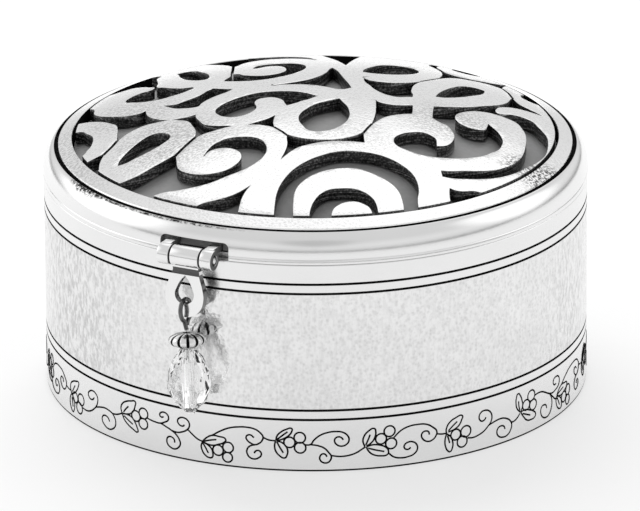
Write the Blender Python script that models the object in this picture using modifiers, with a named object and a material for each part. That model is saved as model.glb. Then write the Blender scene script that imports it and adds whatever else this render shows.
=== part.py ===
"""A round metal trinket box: hinged lid with a pierced scrollwork dome, hinged pull and crystal charm.

Metres, +Z up. The origin is the centre of the face that the box rests on. The pull is at -Y
and the rear hinge at +Y.
"""
import math

import bmesh
import bpy
from mathutils import Matrix, Vector

# Overall sizes of the body
BODY_RADIUS = 0.0500
SEAM_HEIGHT = 0.0395
WALL_THICKNESS = 0.0016
FLOOR_THICKNESS = 0.0012
FOOT_LIFT = 0.0003
BASE_PAD_THICKNESS = 0.0010
FIT_GAP = 0.0003

# Dark ring lines round the wall: two near the foot, two under the seam
LOWER_LINE_HEIGHT = 0.0100
UPPER_LINE_DROP = 0.0036
LINE_PAIR_PITCH = 0.0018
LINE_WIDTH = 0.0005
LINE_DEPTH = 0.0003

# Inner collar that locates the lid, and the soft linings
COLLAR_THICKNESS = 0.0008
COLLAR_RISE = 0.0010
LINING_THICKNESS = 0.0010
WALL_LINING_DROP = 0.0012

# Lid ring: lip, shoulder, outer groove, sloping ring and the seat for the panel
LIP_HEIGHT = 0.0007
SHOULDER_RISE = 0.0056
SHOULDER_INSET = 0.0024
GROOVE_WIDTH = 0.0005
GROOVE_DEPTH = 0.0004
PANEL_INSET = 0.0054
PANEL_EDGE_RISE = 0.0068
LEDGE_WIDTH = 0.0020
LEDGE_CLEARANCE = 0.0003
LID_LINING_INSET = 0.0020

# Domed panel and the sheet behind it
PANEL_THICKNESS = 0.0022
BACKING_THICKNESS = 0.0006
DOME_RISE = 0.0072
PANEL_RIM_SHARE = 0.982
VIEW_TURN = math.radians(26.0)

# Notches in the lid ring, for the pull and for the rear hinge
NOTCH_HEIGHT = 0.0030
NOTCH_DEPTH = 0.0022
NOTCH_CORNER_RADIUS = 0.0010
NOTCH_SIDE_GAP = 0.0014

# Hinge sizes: both hinges have a plain pin in three knuckles
PIN_RADIUS = 0.0007
BORE_GAP = 0.0003
KNUCKLE_GAP = 0.0003
PULL_BARREL_RADIUS = 0.0019
PULL_MIDDLE_LENGTH = 0.0056
PULL_SIDE_LENGTH = 0.0023
PULL_AXIS_RISE = 0.0008
REAR_BARREL_RADIUS = 0.0016
REAR_MIDDLE_LENGTH = 0.0080
REAR_SIDE_LENGTH = 0.0070
REAR_STANDOFF = 0.0004
LEAF_DROP = 0.0080
LEAF_THICKNESS = 0.0009
TAIL_HEIGHT = 0.0012
ARM_SIDE_INSET = 0.0001

# Pull: a flat teardrop loop
LOOP_LENGTH = 0.0110
LOOP_WIDTH = 0.0076
LOOP_NECK_WIDTH = 0.0050
LOOP_THICKNESS = 0.0016
LOOP_BAR_WIDTH = 0.0024
LOOP_HOLE_WIDTH = 0.0038
LOOP_HOLE_LENGTH = 0.0052
LOOP_REST_ANGLE = math.radians(6.0)
LOOP_OUTLINE_STEPS = 4

# Charm: wire eye and stem, melon bead and crystal drop
WIRE_RADIUS = 0.0004
EYE_RADIUS = 0.0024
EYE_OFFSET = 0.0003
EYE_NECK = 0.0011
EYE_START = math.radians(-118.0)
EYE_SWEEP = math.radians(-304.0)
EYE_STEPS = 14
CHARM_REST_ANGLE = math.radians(7.0)
CHARM_LEAN = math.radians(6.0)
BEAD_RADIUS = 0.0032
BEAD_HEIGHT = 0.0026
BEAD_LOBES = 12
BEAD_GROOVE = 0.0003
CRYSTAL_RADIUS = 0.00385
CRYSTAL_LENGTH = 0.0116
CRYSTAL_FACETS = 10
HEAD_RADIUS = 0.0009
HEAD_HEIGHT = 0.0004

# Facets round the turned pieces
ROUND_STEPS = 64
LINING_STEPS = 48
BARREL_STEPS = 24
PIN_STEPS = 16
SHOULDER_STEPS = 5
SHOULDER_TURN = math.radians(72.0)
SHARP_TURN = math.radians(35.0)
DOME_STEPS = 4
OUTLINE_STEPS = 2

# How far a cutter runs past what it cuts
OVERRUN = 0.0020

# Heights and radii that follow from the sizes above
INNER_RADIUS = BODY_RADIUS - WALL_THICKNESS
FLOOR_BOTTOM = BASE_PAD_THICKNESS + FIT_GAP
FLOOR_TOP = FLOOR_BOTTOM + FLOOR_THICKNESS
COLLAR_RADIUS = INNER_RADIUS - FIT_GAP
COLLAR_TOP = SEAM_HEIGHT + COLLAR_RISE
LINING_RADIUS = COLLAR_RADIUS - COLLAR_THICKNESS - FIT_GAP
FLOOR_LINING_TOP = FLOOR_TOP + FIT_GAP + LINING_THICKNESS
LID_BOTTOM = SEAM_HEIGHT + FIT_GAP
LEDGE_BOTTOM = COLLAR_TOP + LEDGE_CLEARANCE
GROOVE_RADIUS = BODY_RADIUS - SHOULDER_INSET
GROOVE_HEIGHT = LID_BOTTOM + SHOULDER_RISE
OPENING_RADIUS = BODY_RADIUS - PANEL_INSET
PANEL_EDGE_HEIGHT = LID_BOTTOM + PANEL_EDGE_RISE
PANEL_RADIUS = OPENING_RADIUS - FIT_GAP
BACKING_EDGE_HEIGHT = PANEL_EDGE_HEIGHT - PANEL_THICKNESS - FIT_GAP
LEDGE_TOP = BACKING_EDGE_HEIGHT - BACKING_THICKNESS - FIT_GAP
PULL_AXIS = Vector((0, -BODY_RADIUS - PULL_BARREL_RADIUS - FIT_GAP, SEAM_HEIGHT + PULL_AXIS_RISE))
REAR_AXIS = Vector((0, BODY_RADIUS + REAR_BARREL_RADIUS + REAR_STANDOFF, SEAM_HEIGHT))
TAIL_BOTTOM = LEDGE_BOTTOM + FIT_GAP
TAIL_END = BODY_RADIUS - NOTCH_DEPTH + FIT_GAP
BAR_DROP = LOOP_LENGTH - LOOP_BAR_WIDTH / 2
BEAD_DROP = EYE_OFFSET + EYE_RADIUS + WIRE_RADIUS + EYE_NECK + BEAD_HEIGHT / 2
CRYSTAL_DROP = BEAD_DROP + BEAD_HEIGHT / 2 + FIT_GAP
HEAD_DROP = CRYSTAL_DROP + CRYSTAL_LENGTH + FIT_GAP

# The scrollwork is drawn in tenths of the opening's radius, with the viewer's right along +X
TENTH = OPENING_RADIUS / 10
CORNER = "corner"


def rim(turn_degrees, share=PANEL_RIM_SHARE):
    """A corner of a hole that lies on the panel's thin outer rim."""
    turn = math.radians(turn_degrees)
    radius = share * OPENING_RADIUS / TENTH
    return (radius * math.cos(turn), radius * math.sin(turn), CORNER)


SCROLL_HOLE_TENTH_SHARES = {
    "centre_drop": [
        (0.98, -0.06, CORNER), (0.2, -0.73), (-0.4, -1.4), (-0.66, -2.2), (-0.55, -2.95), (-0.13, -3.44),
        (0.3, -3.56), (0.8, -3.3), (1.2, -2.74), (1.39, -2.0), (1.32, -1.2), (1.13, -0.4)],
    "left_crescent": [
        (0.1, 0.2, CORNER), (-0.53, 0.7), (-1.53, 0.95), (-2.4, 0.87), (-3.2, 0.42), (-3.87, -0.27),
        (-4.08, -0.9), (-3.85, -1.45), (-3.3, -1.71), (-2.75, -1.5), (-2.42, -0.95), (-2.46, -0.25),
        (-2.2, 0.15), (-1.8, 0.2), (-1.4, -0.1), (-1.23, -0.55), (-1.17, -0.88, CORNER), (-0.5, -0.38)],
    "upper_spiral": [
        (-2.57, 5.13, CORNER), (-2.45, 5.65), (-1.95, 6.0), (-1.2, 6.0), (-0.6, 5.65), (-0.37, 5.0),
        (-0.6, 4.15), (-1.2, 3.37), (-2.0, 2.9), (-3.0, 2.87), (-3.77, 3.2, CORNER), (-3.5, 3.95),
        (-3.43, 4.6, CORNER), (-3.25, 4.45), (-2.9, 3.9), (-2.4, 3.6), (-1.8, 3.62), (-1.33, 4.0),
        (-1.2, 4.6), (-1.4, 5.25), (-1.87, 5.47), (-2.3, 5.2)],
    "upper_left_eye": [
        (-5.7, 6.5, CORNER), (-5.63, 5.53), (-5.33, 4.55), (-4.75, 3.98), (-4.4, 4.4), (-4.5, 5.3),
        (-4.85, 6.2), (-5.25, 6.6)],
    "left_bean": [
        (-7.83, 2.87), (-7.55, 3.38), (-6.95, 3.72), (-6.72, 4.0), (-6.78, 4.35, CORNER), (-7.05, 4.75),
        (-7.6, 5.05), (-8.2, 4.9), rim(152), rim(145), rim(139), rim(133), (-6.57, 6.2), (-6.56, 5.3),
        (-6.48, 4.5), (-6.2, 3.7), (-5.7, 3.18), (-5.07, 2.93, CORNER), (-5.2, 2.5), (-5.75, 2.12),
        (-6.5, 1.9), (-7.2, 2.07), (-7.68, 2.45)],
    "left_gap": [
        rim(160), (-9.17, 2.7), (-9.05, 1.85), (-8.6, 1.2), (-8.05, 0.75), (-7.4, 0.5),
        (-6.97, 0.67, CORNER), (-6.88, 0.0), (-6.55, -0.6), (-6.0, -1.0, CORNER), (-6.9, -1.07),
        (-7.5, -1.38), (-8.0, -2.0, CORNER), (-8.1, -1.3), (-8.12, -0.6), (-8.35, 0.05), (-8.85, 0.7),
        (-9.4, 1.17), rim(171.8), rim(166)],
    "left_edge": [
        rim(178.2), (-9.4, -0.27), (-9.12, -1.1), (-9.2, -1.93), (-9.45, -2.5), rim(196.5), rim(187)],
    "lower_left_drop": [
        (-8.03, -4.41, CORNER), (-7.9, -3.9), (-7.4, -3.0), (-6.73, -2.28), (-6.2, -2.3), (-5.92, -2.75),
        (-6.17, -3.27), (-6.87, -3.87), (-7.5, -4.22)],
    "left_wedge": [
        (-8.6, -2.97, CORNER), rim(200.2), rim(205.6), (-8.75, -3.6)],
    "lower_spiral": [
        (-4.49, -4.97, CORNER), (-4.3, -4.45), (-3.9, -3.95), (-3.25, -3.72), (-2.55, -3.86),
        (-2.07, -4.45), (-1.98, -5.1), (-2.25, -5.8), (-2.87, -6.44), (-3.7, -6.9), (-4.6, -7.22),
        (-5.6, -7.33), rim(227), rim(221.7), rim(216.3), (-7.1, -5.52), (-6.3, -5.02),
        (-5.67, -4.5, CORNER), (-5.62, -5.2), (-5.45, -5.9), (-4.95, -6.33), (-4.2, -6.5), (-3.5, -6.28),
        (-3.05, -5.7), (-3.03, -5.1), (-3.4, -4.68), (-3.9, -4.54), (-4.3, -4.7)],
    "lower_wedge": [
        (-2.63, -7.66, CORNER), (-3.2, -8.12), (-4.0, -8.41), rim(239.8), rim(246), rim(251.8),
        (-3.05, -8.8), (-2.9, -8.2)],
    "great_arch": [
        rim(260.5), (-1.62, -8.9), (-1.3, -7.5), (-0.6, -6.35), (0.3, -5.6), (1.4, -5.24), (2.47, -5.4),
        (3.4, -6.0), (3.97, -6.9), (4.15, -7.9), rim(294), rim(290.6), (3.45, -8.45), (3.0, -7.47),
        (2.3, -6.9), (1.35, -6.6), (0.35, -6.87), (-0.45, -7.5), (-0.82, -8.2), (-0.9, -9.1), rim(264.9)],
    "small_arch": [
        rim(268.6), (-0.15, -9.2), (0.2, -8.47), (0.85, -8.08), (1.6, -8.08), (2.2, -8.5), (2.45, -9.15),
        rim(284.4), rim(283), (2.1, -9.2), (1.6, -8.9), (1.1, -9.0), (0.72, -9.4), rim(273.6)],
    "right_wedge": [
        (5.4, -7.34, CORNER), (6.2, -7.32), rim(314.3), rim(308), rim(302.4), (5.38, -7.9)],
    "right_scroll": [
        (7.1, -1.05, CORNER), (7.35, -1.5), (7.6, -2.1), (7.65, -2.8), (7.43, -3.54), (6.9, -4.25),
        (6.1, -4.83), (5.0, -5.12), (4.1, -5.03), (3.4, -4.6), (3.19, -4.1), (3.4, -3.55), (3.93, -3.2),
        (4.45, -3.12), (4.85, -3.45), (4.93, -4.17, CORNER), (5.35, -3.97), (5.62, -3.4), (5.63, -2.7),
        (5.35, -2.0), (4.8, -1.47, CORNER), (4.82, -0.8), (4.88, -0.08, CORNER), (5.6, 0.12), (6.4, 0.6),
        (7.2, 1.28), (7.8, 2.0), (8.08, 2.8), (8.2, 3.45, CORNER), (8.45, 2.55), (8.9, 2.1),
        (9.4, 1.7, CORNER), (8.5, 1.78), (7.85, 1.56), (7.48, 1.1), (7.5, 0.5, CORNER), (8.0, 0.66),
        (8.6, 0.7), (9.05, 0.3), (9.4, -0.6), (9.52, -1.6), (9.4, -2.8), (8.93, -3.94), (8.2, -5.04),
        (7.33, -5.9), (6.3, -6.38), (5.13, -6.6, CORNER), (5.07, -6.14, CORNER), (6.0, -5.87),
        (7.0, -5.47), (7.8, -4.8), (8.35, -3.8), (8.6, -2.7), (8.62, -1.5), (8.4, -0.45), (8.0, 0.02),
        (7.4, 0.27), (6.8, 0.22), (6.2, -0.15), (5.8, -0.7), (5.76, -1.3), (6.1, -1.8), (6.65, -1.93),
        (6.98, -1.65)],
    "centre_window": [
        (2.5, -0.13, CORNER), (2.85, -0.42), (3.33, -0.5), (4.0, -0.3, CORNER), (3.97, -1.3, CORNER),
        (3.3, -1.6), (2.75, -2.05), (2.28, -2.85, CORNER), (2.43, -1.8), (2.5, -0.9)],
    "upper_shield": [
        (2.03, 3.07, CORNER), (2.4, 2.62), (3.1, 2.5), (3.85, 2.8), (4.45, 3.4, CORNER), (4.15, 2.7),
        (4.0, 1.9), (4.0, 1.2), (4.01, 0.73, CORNER), (3.4, 0.53), (2.8, 0.86), (2.35, 1.6), (2.07, 2.4)],
    "upper_eye": [
        (2.0, 4.13, CORNER), (2.12, 4.85), (2.6, 5.75), (3.3, 6.2), (3.95, 6.05), (4.33, 5.35),
        (4.1, 4.6), (3.4, 4.05), (2.67, 3.93)],
    "right_eye": [
        (4.97, 1.15, CORNER), (5.2, 2.0), (5.65, 2.95), (6.2, 3.62), (6.65, 3.72), (7.03, 3.53, CORNER),
        (6.9, 2.8), (6.3, 2.0), (5.6, 1.38)],
    "centre_triangle": [
        (0.73, 4.9, CORNER), (0.95, 4.1), (1.15, 3.1), (1.38, 2.0), (1.5, 1.4, CORNER), (1.07, 1.12),
        (0.47, 1.43), (-0.3, 1.75), (-1.1, 1.87), (-1.95, 1.86, CORNER), (-1.07, 2.07), (-0.3, 2.5),
        (0.27, 3.25), (0.55, 4.1)],
    "top_wedge": [
        (1.3, 5.45, CORNER), (1.1, 6.2), (0.8, 7.2), (0.45, 8.4), rim(88.5), rim(79), (1.85, 8.6),
        (1.65, 7.4), (1.45, 6.3)],
    "top_left_sweep": [
        (-3.4, 6.1, CORNER), (-3.65, 6.8), (-4.1, 7.6), (-4.5, 8.3), rim(118), rim(109), (-2.0, 9.1),
        (-1.0, 8.6), (-0.3, 7.9), (0.05, 6.95, CORNER), (-0.5, 7.4), (-1.3, 7.75), (-2.0, 7.75),
        (-2.6, 7.4), (-3.0, 6.9), (-3.3, 6.2)],
    "top_right_sweep": [
        (5.03, 7.0), (4.8, 7.8), rim(60.8), rim(58.3), (5.12, 7.5), (5.3, 6.6), (5.6, 5.8), (6.2, 5.48),
        (7.0, 5.47), (7.6, 5.63), rim(37), (7.84, 5.2), (7.8, 4.7, CORNER), (7.3, 5.03), (6.47, 5.13),
        (5.8, 4.97), (5.1, 4.2, CORNER), (5.28, 5.0), (5.3, 5.9), (5.15, 6.6)],
    "right_slit": [
        rim(29), (8.55, 4.2), (8.85, 3.55), rim(18.3), rim(23.6)],
    "top_right_edge": [
        rim(55), (5.8, 7.4), (6.2, 6.9), (6.6, 6.75), rim(44.8), rim(50)],
    "left_leaf": [
        (-6.22, 0.87, CORNER), (-5.75, 0.72), (-5.2, 1.07), (-4.7, 1.52), (-4.2, 2.17, CORNER),
        (-3.75, 1.95), (-3.3, 1.75, CORNER), (-3.9, 1.2), (-4.5, 0.6), (-4.85, 0.0), (-5.3, 0.03),
        (-5.8, 0.32)],
    "left_hook": [
        (-5.85, -1.07, CORNER), (-5.3, -1.05), (-4.9, -0.93, CORNER), (-4.8, -1.5), (-4.4, -2.2),
        (-3.8, -2.5), (-3.35, -2.64, CORNER), (-4.1, -2.87), (-4.7, -3.2), (-5.0, -3.45, CORNER),
        (-4.93, -2.6), (-5.1, -1.8), (-5.5, -1.32)],
    "small_star": [
        (-1.63, -1.87, CORNER), (-2.0, -2.24), (-2.75, -2.65, CORNER), (-2.2, -2.78),
        (-1.63, -3.17, CORNER), (-1.72, -2.5)],
    "arch_star": [
        (-1.15, -3.85, CORNER), (-0.6, -4.15), (0.2, -4.33), (1.0, -4.24), (1.6, -3.9),
        (1.97, -3.5, CORNER), (2.0, -4.47, CORNER), (1.3, -4.38), (0.5, -4.45), (-0.2, -4.72),
        (-0.85, -5.15), (-1.4, -5.87, CORNER), (-1.17, -5.0)],
}

# Crystal profile: distance down the drop and radius, as shares of its length and greatest radius
CRYSTAL_PROFILE_SHARES = ((0.0, 0.31), (0.17, 0.56), (0.40, 0.84), (0.63, 1.0), (0.84, 0.78), (1.0, 0.27))


def clear_scene():
    """Remove every object, mesh and curve that the file opens with."""
    for item in list(bpy.data.objects):
        bpy.data.objects.remove(item, do_unlink=True)
    for blocks in (bpy.data.meshes, bpy.data.curves):
        for block in list(blocks):
            blocks.remove(block)


def new_collection(name):
    """A collection in the scene."""
    collection = bpy.data.collections.new(name)
    bpy.context.scene.collection.children.link(collection)
    return collection


def new_material(name, colour, metallic, roughness, transmission=0.0):
    """A Principled material with the piece's own finish."""
    material = bpy.data.materials.new(name)
    material.use_nodes = True
    shader = material.node_tree.nodes["Principled BSDF"]
    shader.inputs["Base Color"].default_value = (*colour, 1)
    shader.inputs["Metallic"].default_value = metallic
    shader.inputs["Roughness"].default_value = roughness
    shader.inputs["Transmission Weight"].default_value = transmission
    return material


def make_materials():
    """The finishes of the whole box."""
    return {
        "hammered_silver": new_material("hammered_silver", (0.80, 0.80, 0.79), 1.0, 0.30),
        "polished_silver": new_material("polished_silver", (0.86, 0.86, 0.85), 1.0, 0.14),
        "inner_metal": new_material("inner_metal", (0.55, 0.55, 0.55), 1.0, 0.35),
        "grey_backing": new_material("grey_backing", (0.12, 0.12, 0.12), 0.0, 0.70),
        "black_velvet": new_material("black_velvet", (0.02, 0.02, 0.02), 0.0, 0.95),
        "wire": new_material("wire", (0.35, 0.35, 0.35), 1.0, 0.30),
        "antique_silver": new_material("antique_silver", (0.60, 0.60, 0.60), 1.0, 0.25),
        "crystal": new_material("crystal", (0.98, 0.98, 0.98), 0.0, 0.02, 1.0),
    }


def add_object(name, mesh, collection, material=None):
    """Put a mesh in the scene as a named piece."""
    item = bpy.data.objects.new(name, mesh)
    collection.objects.link(item)
    if material:
        mesh.materials.append(material)
    return item


def shade_round(item):
    """Smooth shading that keeps real corners sharp."""
    item.data.shade_smooth()
    item.data.set_sharp_from_angle(angle=SHARP_TURN)


def evaluated_copy(item):
    """The object's mesh with its modifiers applied."""
    graph = bpy.context.evaluated_depsgraph_get()
    return bpy.data.meshes.new_from_object(item.evaluated_get(graph), depsgraph=graph)


def turned(name, profile, collection, steps, material=None):
    """A turned solid: the profile (radius, height) runs down the outside from top to bottom."""
    mesh = bpy.data.meshes.new(name)
    shape = bmesh.new()
    points = [shape.verts.new((radius, 0, height)) for radius, height in profile]
    for first, second in zip(points, points[1:]):
        shape.edges.new((first, second))
    if profile[0][0] > 0 or profile[-1][0] > 0:
        shape.edges.new((points[-1], points[0]))
    shape.to_mesh(mesh)
    shape.free()
    item = add_object(name, mesh, collection)
    screw = item.modifiers.new("turn", "SCREW")
    screw.steps = steps
    screw.render_steps = steps
    screw.use_merge_vertices = True
    screw.merge_threshold = FIT_GAP / 10
    item.data = evaluated_copy(item)
    item.modifiers.clear()
    bpy.data.meshes.remove(mesh)
    if material:
        item.data.materials.append(material)
    shade_round(item)
    return item


def box(name, low, high, collection):
    """A box between two corners, made from a cube primitive."""
    mesh = bpy.data.meshes.new(name)
    shape = bmesh.new()
    bmesh.ops.create_cube(shape, size=1)
    low = Vector(low)
    high = Vector(high)
    bmesh.ops.scale(shape, vec=high - low, verts=shape.verts)
    bmesh.ops.translate(shape, vec=(low + high) / 2, verts=shape.verts)
    shape.to_mesh(mesh)
    shape.free()
    return add_object(name, mesh, collection)


def rod(name, radius, length, collection, steps, centre=(0, 0, 0), along="X"):
    """A cylinder primitive, centred on a point, along X or Z."""
    mesh = bpy.data.meshes.new(name)
    shape = bmesh.new()
    bmesh.ops.create_cone(
        shape, cap_ends=True, segments=steps, radius1=radius, radius2=radius, depth=length)
    if along == "X":
        bmesh.ops.rotate(shape, matrix=Matrix.Rotation(math.pi / 2, 3, "Y"), verts=shape.verts)
    bmesh.ops.translate(shape, vec=Vector(centre), verts=shape.verts)
    shape.to_mesh(mesh)
    shape.free()
    return add_object(name, mesh, collection)


def flat_outline(name, outlines, thickness, collection, steps):
    """A plate cut to closed outlines of bends and corners, with its mid-plane at height zero."""
    curve = bpy.data.curves.new(name, "CURVE")
    curve.dimensions = "2D"
    curve.fill_mode = "BOTH"
    curve.extrude = thickness / 2
    curve.resolution_u = steps
    for outline in outlines:
        spline = curve.splines.new("BEZIER")
        spline.bezier_points.add(len(outline) - 1)
        spline.use_cyclic_u = True
        spline.resolution_u = steps
        for point, place in zip(spline.bezier_points, outline):
            kind = "VECTOR" if len(place) > 2 else "AUTO"
            point.co = (place[0], place[1], 0)
            point.handle_left_type = kind
            point.handle_right_type = kind
    guide = bpy.data.objects.new(name, curve)
    collection.objects.link(guide)
    bpy.context.view_layer.update()
    mesh = evaluated_copy(guide)
    bpy.data.objects.remove(guide)
    weld(mesh)
    return add_object(name, mesh, collection)


def weld(mesh):
    """Join the points of a mesh that a curve's caps or a boolean left double."""
    shape = bmesh.new()
    shape.from_mesh(mesh)
    bmesh.ops.remove_doubles(shape, verts=shape.verts, dist=FIT_GAP / 100)
    bmesh.ops.recalc_face_normals(shape, faces=shape.faces)
    shape.to_mesh(mesh)
    shape.free()


def combine(item, tool, operation):
    """Apply one exact boolean and hide the tool."""
    modifier = item.modifiers.new(operation.lower(), "BOOLEAN")
    modifier.operation = operation
    modifier.solver = "EXACT"
    modifier.object = tool
    bpy.context.view_layer.update()
    mesh = evaluated_copy(item)
    item.modifiers.clear()
    weld(mesh)
    item.data = mesh
    tool.hide_render = True
    tool.display_type = "WIRE"
    return item


def v_line(radius, height):
    """Three profile points of a V-shaped line cut round a wall, from top to bottom."""
    return [
        (radius, height + LINE_WIDTH / 2),
        (radius - LINE_DEPTH, height),
        (radius, height - LINE_WIDTH / 2),
    ]


def ring_line_heights():
    """Heights of the four dark lines, from the top down."""
    upper = SEAM_HEIGHT - UPPER_LINE_DROP
    lower = LOWER_LINE_HEIGHT
    return (upper, upper - LINE_PAIR_PITCH, lower + LINE_PAIR_PITCH, lower)


def dome_profile(edge_radius, edge_height, rise, reach):
    """Points of a dome's section, from the middle out to the reach of the piece."""
    ball = (edge_radius ** 2 + rise ** 2) / (2 * rise)
    centre = edge_height + rise - ball
    points = []
    for step in range(DOME_STEPS + 1):
        radius = reach * step / DOME_STEPS
        points.append((radius, centre + math.sqrt(ball ** 2 - radius ** 2)))
    return points


def make_body_shell(parts, materials):
    """The cup: outer wall with its four lines, and the floor above the base pad's recess."""
    profile = [(BODY_RADIUS, SEAM_HEIGHT)]
    for height in ring_line_heights():
        profile += v_line(BODY_RADIUS, height)
    profile += [
        (BODY_RADIUS, FOOT_LIFT),
        (INNER_RADIUS, FOOT_LIFT),
        (INNER_RADIUS, FLOOR_BOTTOM),
        (0, FLOOR_BOTTOM),
    ]
    inside = [(0, FLOOR_TOP), (INNER_RADIUS, FLOOR_TOP), (INNER_RADIUS, SEAM_HEIGHT)]
    return turned("body_shell", inside + profile, parts, ROUND_STEPS, materials["hammered_silver"])


def make_ring(name, outer, inner, top, bottom, parts, steps, material):
    """A plain turned ring."""
    profile = [(inner, top), (outer, top), (outer, bottom), (inner, bottom)]
    return turned(name, profile, parts, steps, material)


def make_disc(name, radius, top, bottom, parts, material):
    """A plain turned disc."""
    profile = [(0, top), (radius, top), (radius, bottom), (0, bottom)]
    return turned(name, profile, parts, LINING_STEPS, material)


def make_inside(parts, materials):
    """The locating collar and the soft linings of the cup, and the pad under its floor."""
    velvet = materials["black_velvet"]
    make_ring("inner_collar", COLLAR_RADIUS, COLLAR_RADIUS - COLLAR_THICKNESS, COLLAR_TOP,
              FLOOR_TOP + FIT_GAP, parts, ROUND_STEPS, materials["inner_metal"])
    make_disc("floor_lining", LINING_RADIUS, FLOOR_LINING_TOP, FLOOR_TOP + FIT_GAP, parts, velvet)
    make_ring("wall_lining", LINING_RADIUS, LINING_RADIUS - LINING_THICKNESS,
              SEAM_HEIGHT - WALL_LINING_DROP, FLOOR_LINING_TOP + FIT_GAP, parts, ROUND_STEPS, velvet)
    make_disc("base_pad", INNER_RADIUS - FIT_GAP, BASE_PAD_THICKNESS, 0, parts, velvet)


def shoulder_points():
    """The lid's rounded shoulder, from the outer groove down to the crease above the lip."""
    crease = LID_BOTTOM + LIP_HEIGHT
    foot = crease + LINE_WIDTH / 2
    top_radius = GROOVE_RADIUS + GROOVE_WIDTH / 2
    end = SHOULDER_TURN
    across = (BODY_RADIUS - top_radius) / (1 - math.cos(end))
    up = (GROOVE_HEIGHT - foot) / math.sin(end)
    points = []
    for step in range(SHOULDER_STEPS + 1):
        turn = end * (1 - step / SHOULDER_STEPS)
        points.append((BODY_RADIUS - across * (1 - math.cos(turn)), foot + up * math.sin(turn)))
    return points


def make_lid_rim(parts, cutters, materials):
    """The lid's ring: lip, shoulder, groove and sloping ring outside, seat for the panel inside."""
    crease = LID_BOTTOM + LIP_HEIGHT
    slope = (PANEL_EDGE_HEIGHT - GROOVE_HEIGHT) / (GROOVE_RADIUS - OPENING_RADIUS)
    inner_edge = GROOVE_RADIUS - GROOVE_WIDTH / 2
    profile = [
        (OPENING_RADIUS, PANEL_EDGE_HEIGHT),
        (inner_edge, GROOVE_HEIGHT + slope * GROOVE_WIDTH / 2),
        (GROOVE_RADIUS, GROOVE_HEIGHT - GROOVE_DEPTH),
    ]
    profile += shoulder_points()
    profile += v_line(BODY_RADIUS, crease)[1:]
    profile += [
        (BODY_RADIUS, LID_BOTTOM),
        (INNER_RADIUS, LID_BOTTOM),
        (INNER_RADIUS, LEDGE_BOTTOM),
        (OPENING_RADIUS - LEDGE_WIDTH, LEDGE_BOTTOM),
        (OPENING_RADIUS - LEDGE_WIDTH, LEDGE_TOP),
        (OPENING_RADIUS, LEDGE_TOP),
    ]
    rim_ring = turned("lid_rim", profile, parts, ROUND_STEPS, materials["polished_silver"])
    pull_width = PULL_MIDDLE_LENGTH + 2 * (PULL_SIDE_LENGTH + KNUCKLE_GAP + NOTCH_SIDE_GAP)
    rear_width = REAR_MIDDLE_LENGTH + 2 * NOTCH_SIDE_GAP
    for name, width, side in (("pull_notch", pull_width, -1), ("hinge_notch", rear_width, 1)):
        combine(rim_ring, notch_cutter(name, width, side, cutters), "DIFFERENCE")
    shade_round(rim_ring)
    return rim_ring


def notch_cutter(name, width, side, cutters):
    """A notch open at the lid's lower edge, with rounded top corners."""
    half = width / 2
    top = LID_BOTTOM + NOTCH_HEIGHT
    low = LID_BOTTOM - OVERRUN
    bend = NOTCH_CORNER_RADIUS
    cut_share = 1 - math.sqrt(0.5)
    outline = [(-half, low, CORNER), (half, low, CORNER)]
    for sign in (1, -1):
        corner = [
            (sign * half, top - bend, CORNER),
            (sign * (half - bend * cut_share), top - bend * cut_share, CORNER),
            (sign * (half - bend), top, CORNER),
        ]
        outline += corner if sign > 0 else corner[::-1]
    depth = NOTCH_DEPTH + OVERRUN
    cutter = flat_outline(name, [outline], depth, cutters, 1)
    middle = side * (BODY_RADIUS - NOTCH_DEPTH + depth / 2)
    cutter.matrix_world = Matrix.Translation((0, middle, 0)) @ Matrix.Rotation(math.pi / 2, 4, "X")
    return cutter


def model_point(place):
    """A place of the scrollwork, in tenths of the opening's radius, turned into the model's frame."""
    turned_place = Matrix.Rotation(VIEW_TURN, 2) @ Vector((place[0] * TENTH, place[1] * TENTH))
    return (turned_place.x, turned_place.y, *place[2:])


def make_scroll_panel(parts, cutters, materials):
    """The domed plate, pierced by the scrollwork."""
    top = dome_profile(OPENING_RADIUS, PANEL_EDGE_HEIGHT, DOME_RISE, PANEL_RADIUS)
    bottom = [(radius, height - PANEL_THICKNESS) for radius, height in reversed(top)]
    panel = turned("scroll_panel", top + bottom, parts, ROUND_STEPS, materials["hammered_silver"])
    outlines = [[model_point(place) for place in outline] for outline in SCROLL_HOLE_TENTH_SHARES.values()]
    depth = DOME_RISE + 2 * PANEL_THICKNESS + 2 * OVERRUN
    cutter = flat_outline("scroll_holes", outlines, depth, cutters, OUTLINE_STEPS)
    cutter.location.z = PANEL_EDGE_HEIGHT + DOME_RISE / 2
    combine(panel, cutter, "DIFFERENCE")
    shade_round(panel)
    return panel


def make_lid_inside(parts, materials):
    """The grey sheet that shows through the scrollwork, and the lid's flat lining."""
    edge = BACKING_EDGE_HEIGHT
    top = dome_profile(OPENING_RADIUS, edge, DOME_RISE, PANEL_RADIUS)
    bottom = [(radius, height - BACKING_THICKNESS) for radius, height in reversed(top)]
    turned("lid_backing", top + bottom, parts, ROUND_STEPS, materials["grey_backing"])
    lining_top = LEDGE_BOTTOM - FIT_GAP
    make_disc("lid_lining", INNER_RADIUS - LID_LINING_INSET, lining_top, lining_top - LINING_THICKNESS,
              parts, materials["black_velvet"])


def knuckle(name, axis, radius, length, offset, parts, material):
    """A hinge barrel on an axis along X, with the pin's bore still to be cut."""
    centre = axis + Vector((offset, 0, 0))
    item = rod(name, radius, length, parts, BARREL_STEPS, centre)
    item.data.materials.append(material)
    return item


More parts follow.
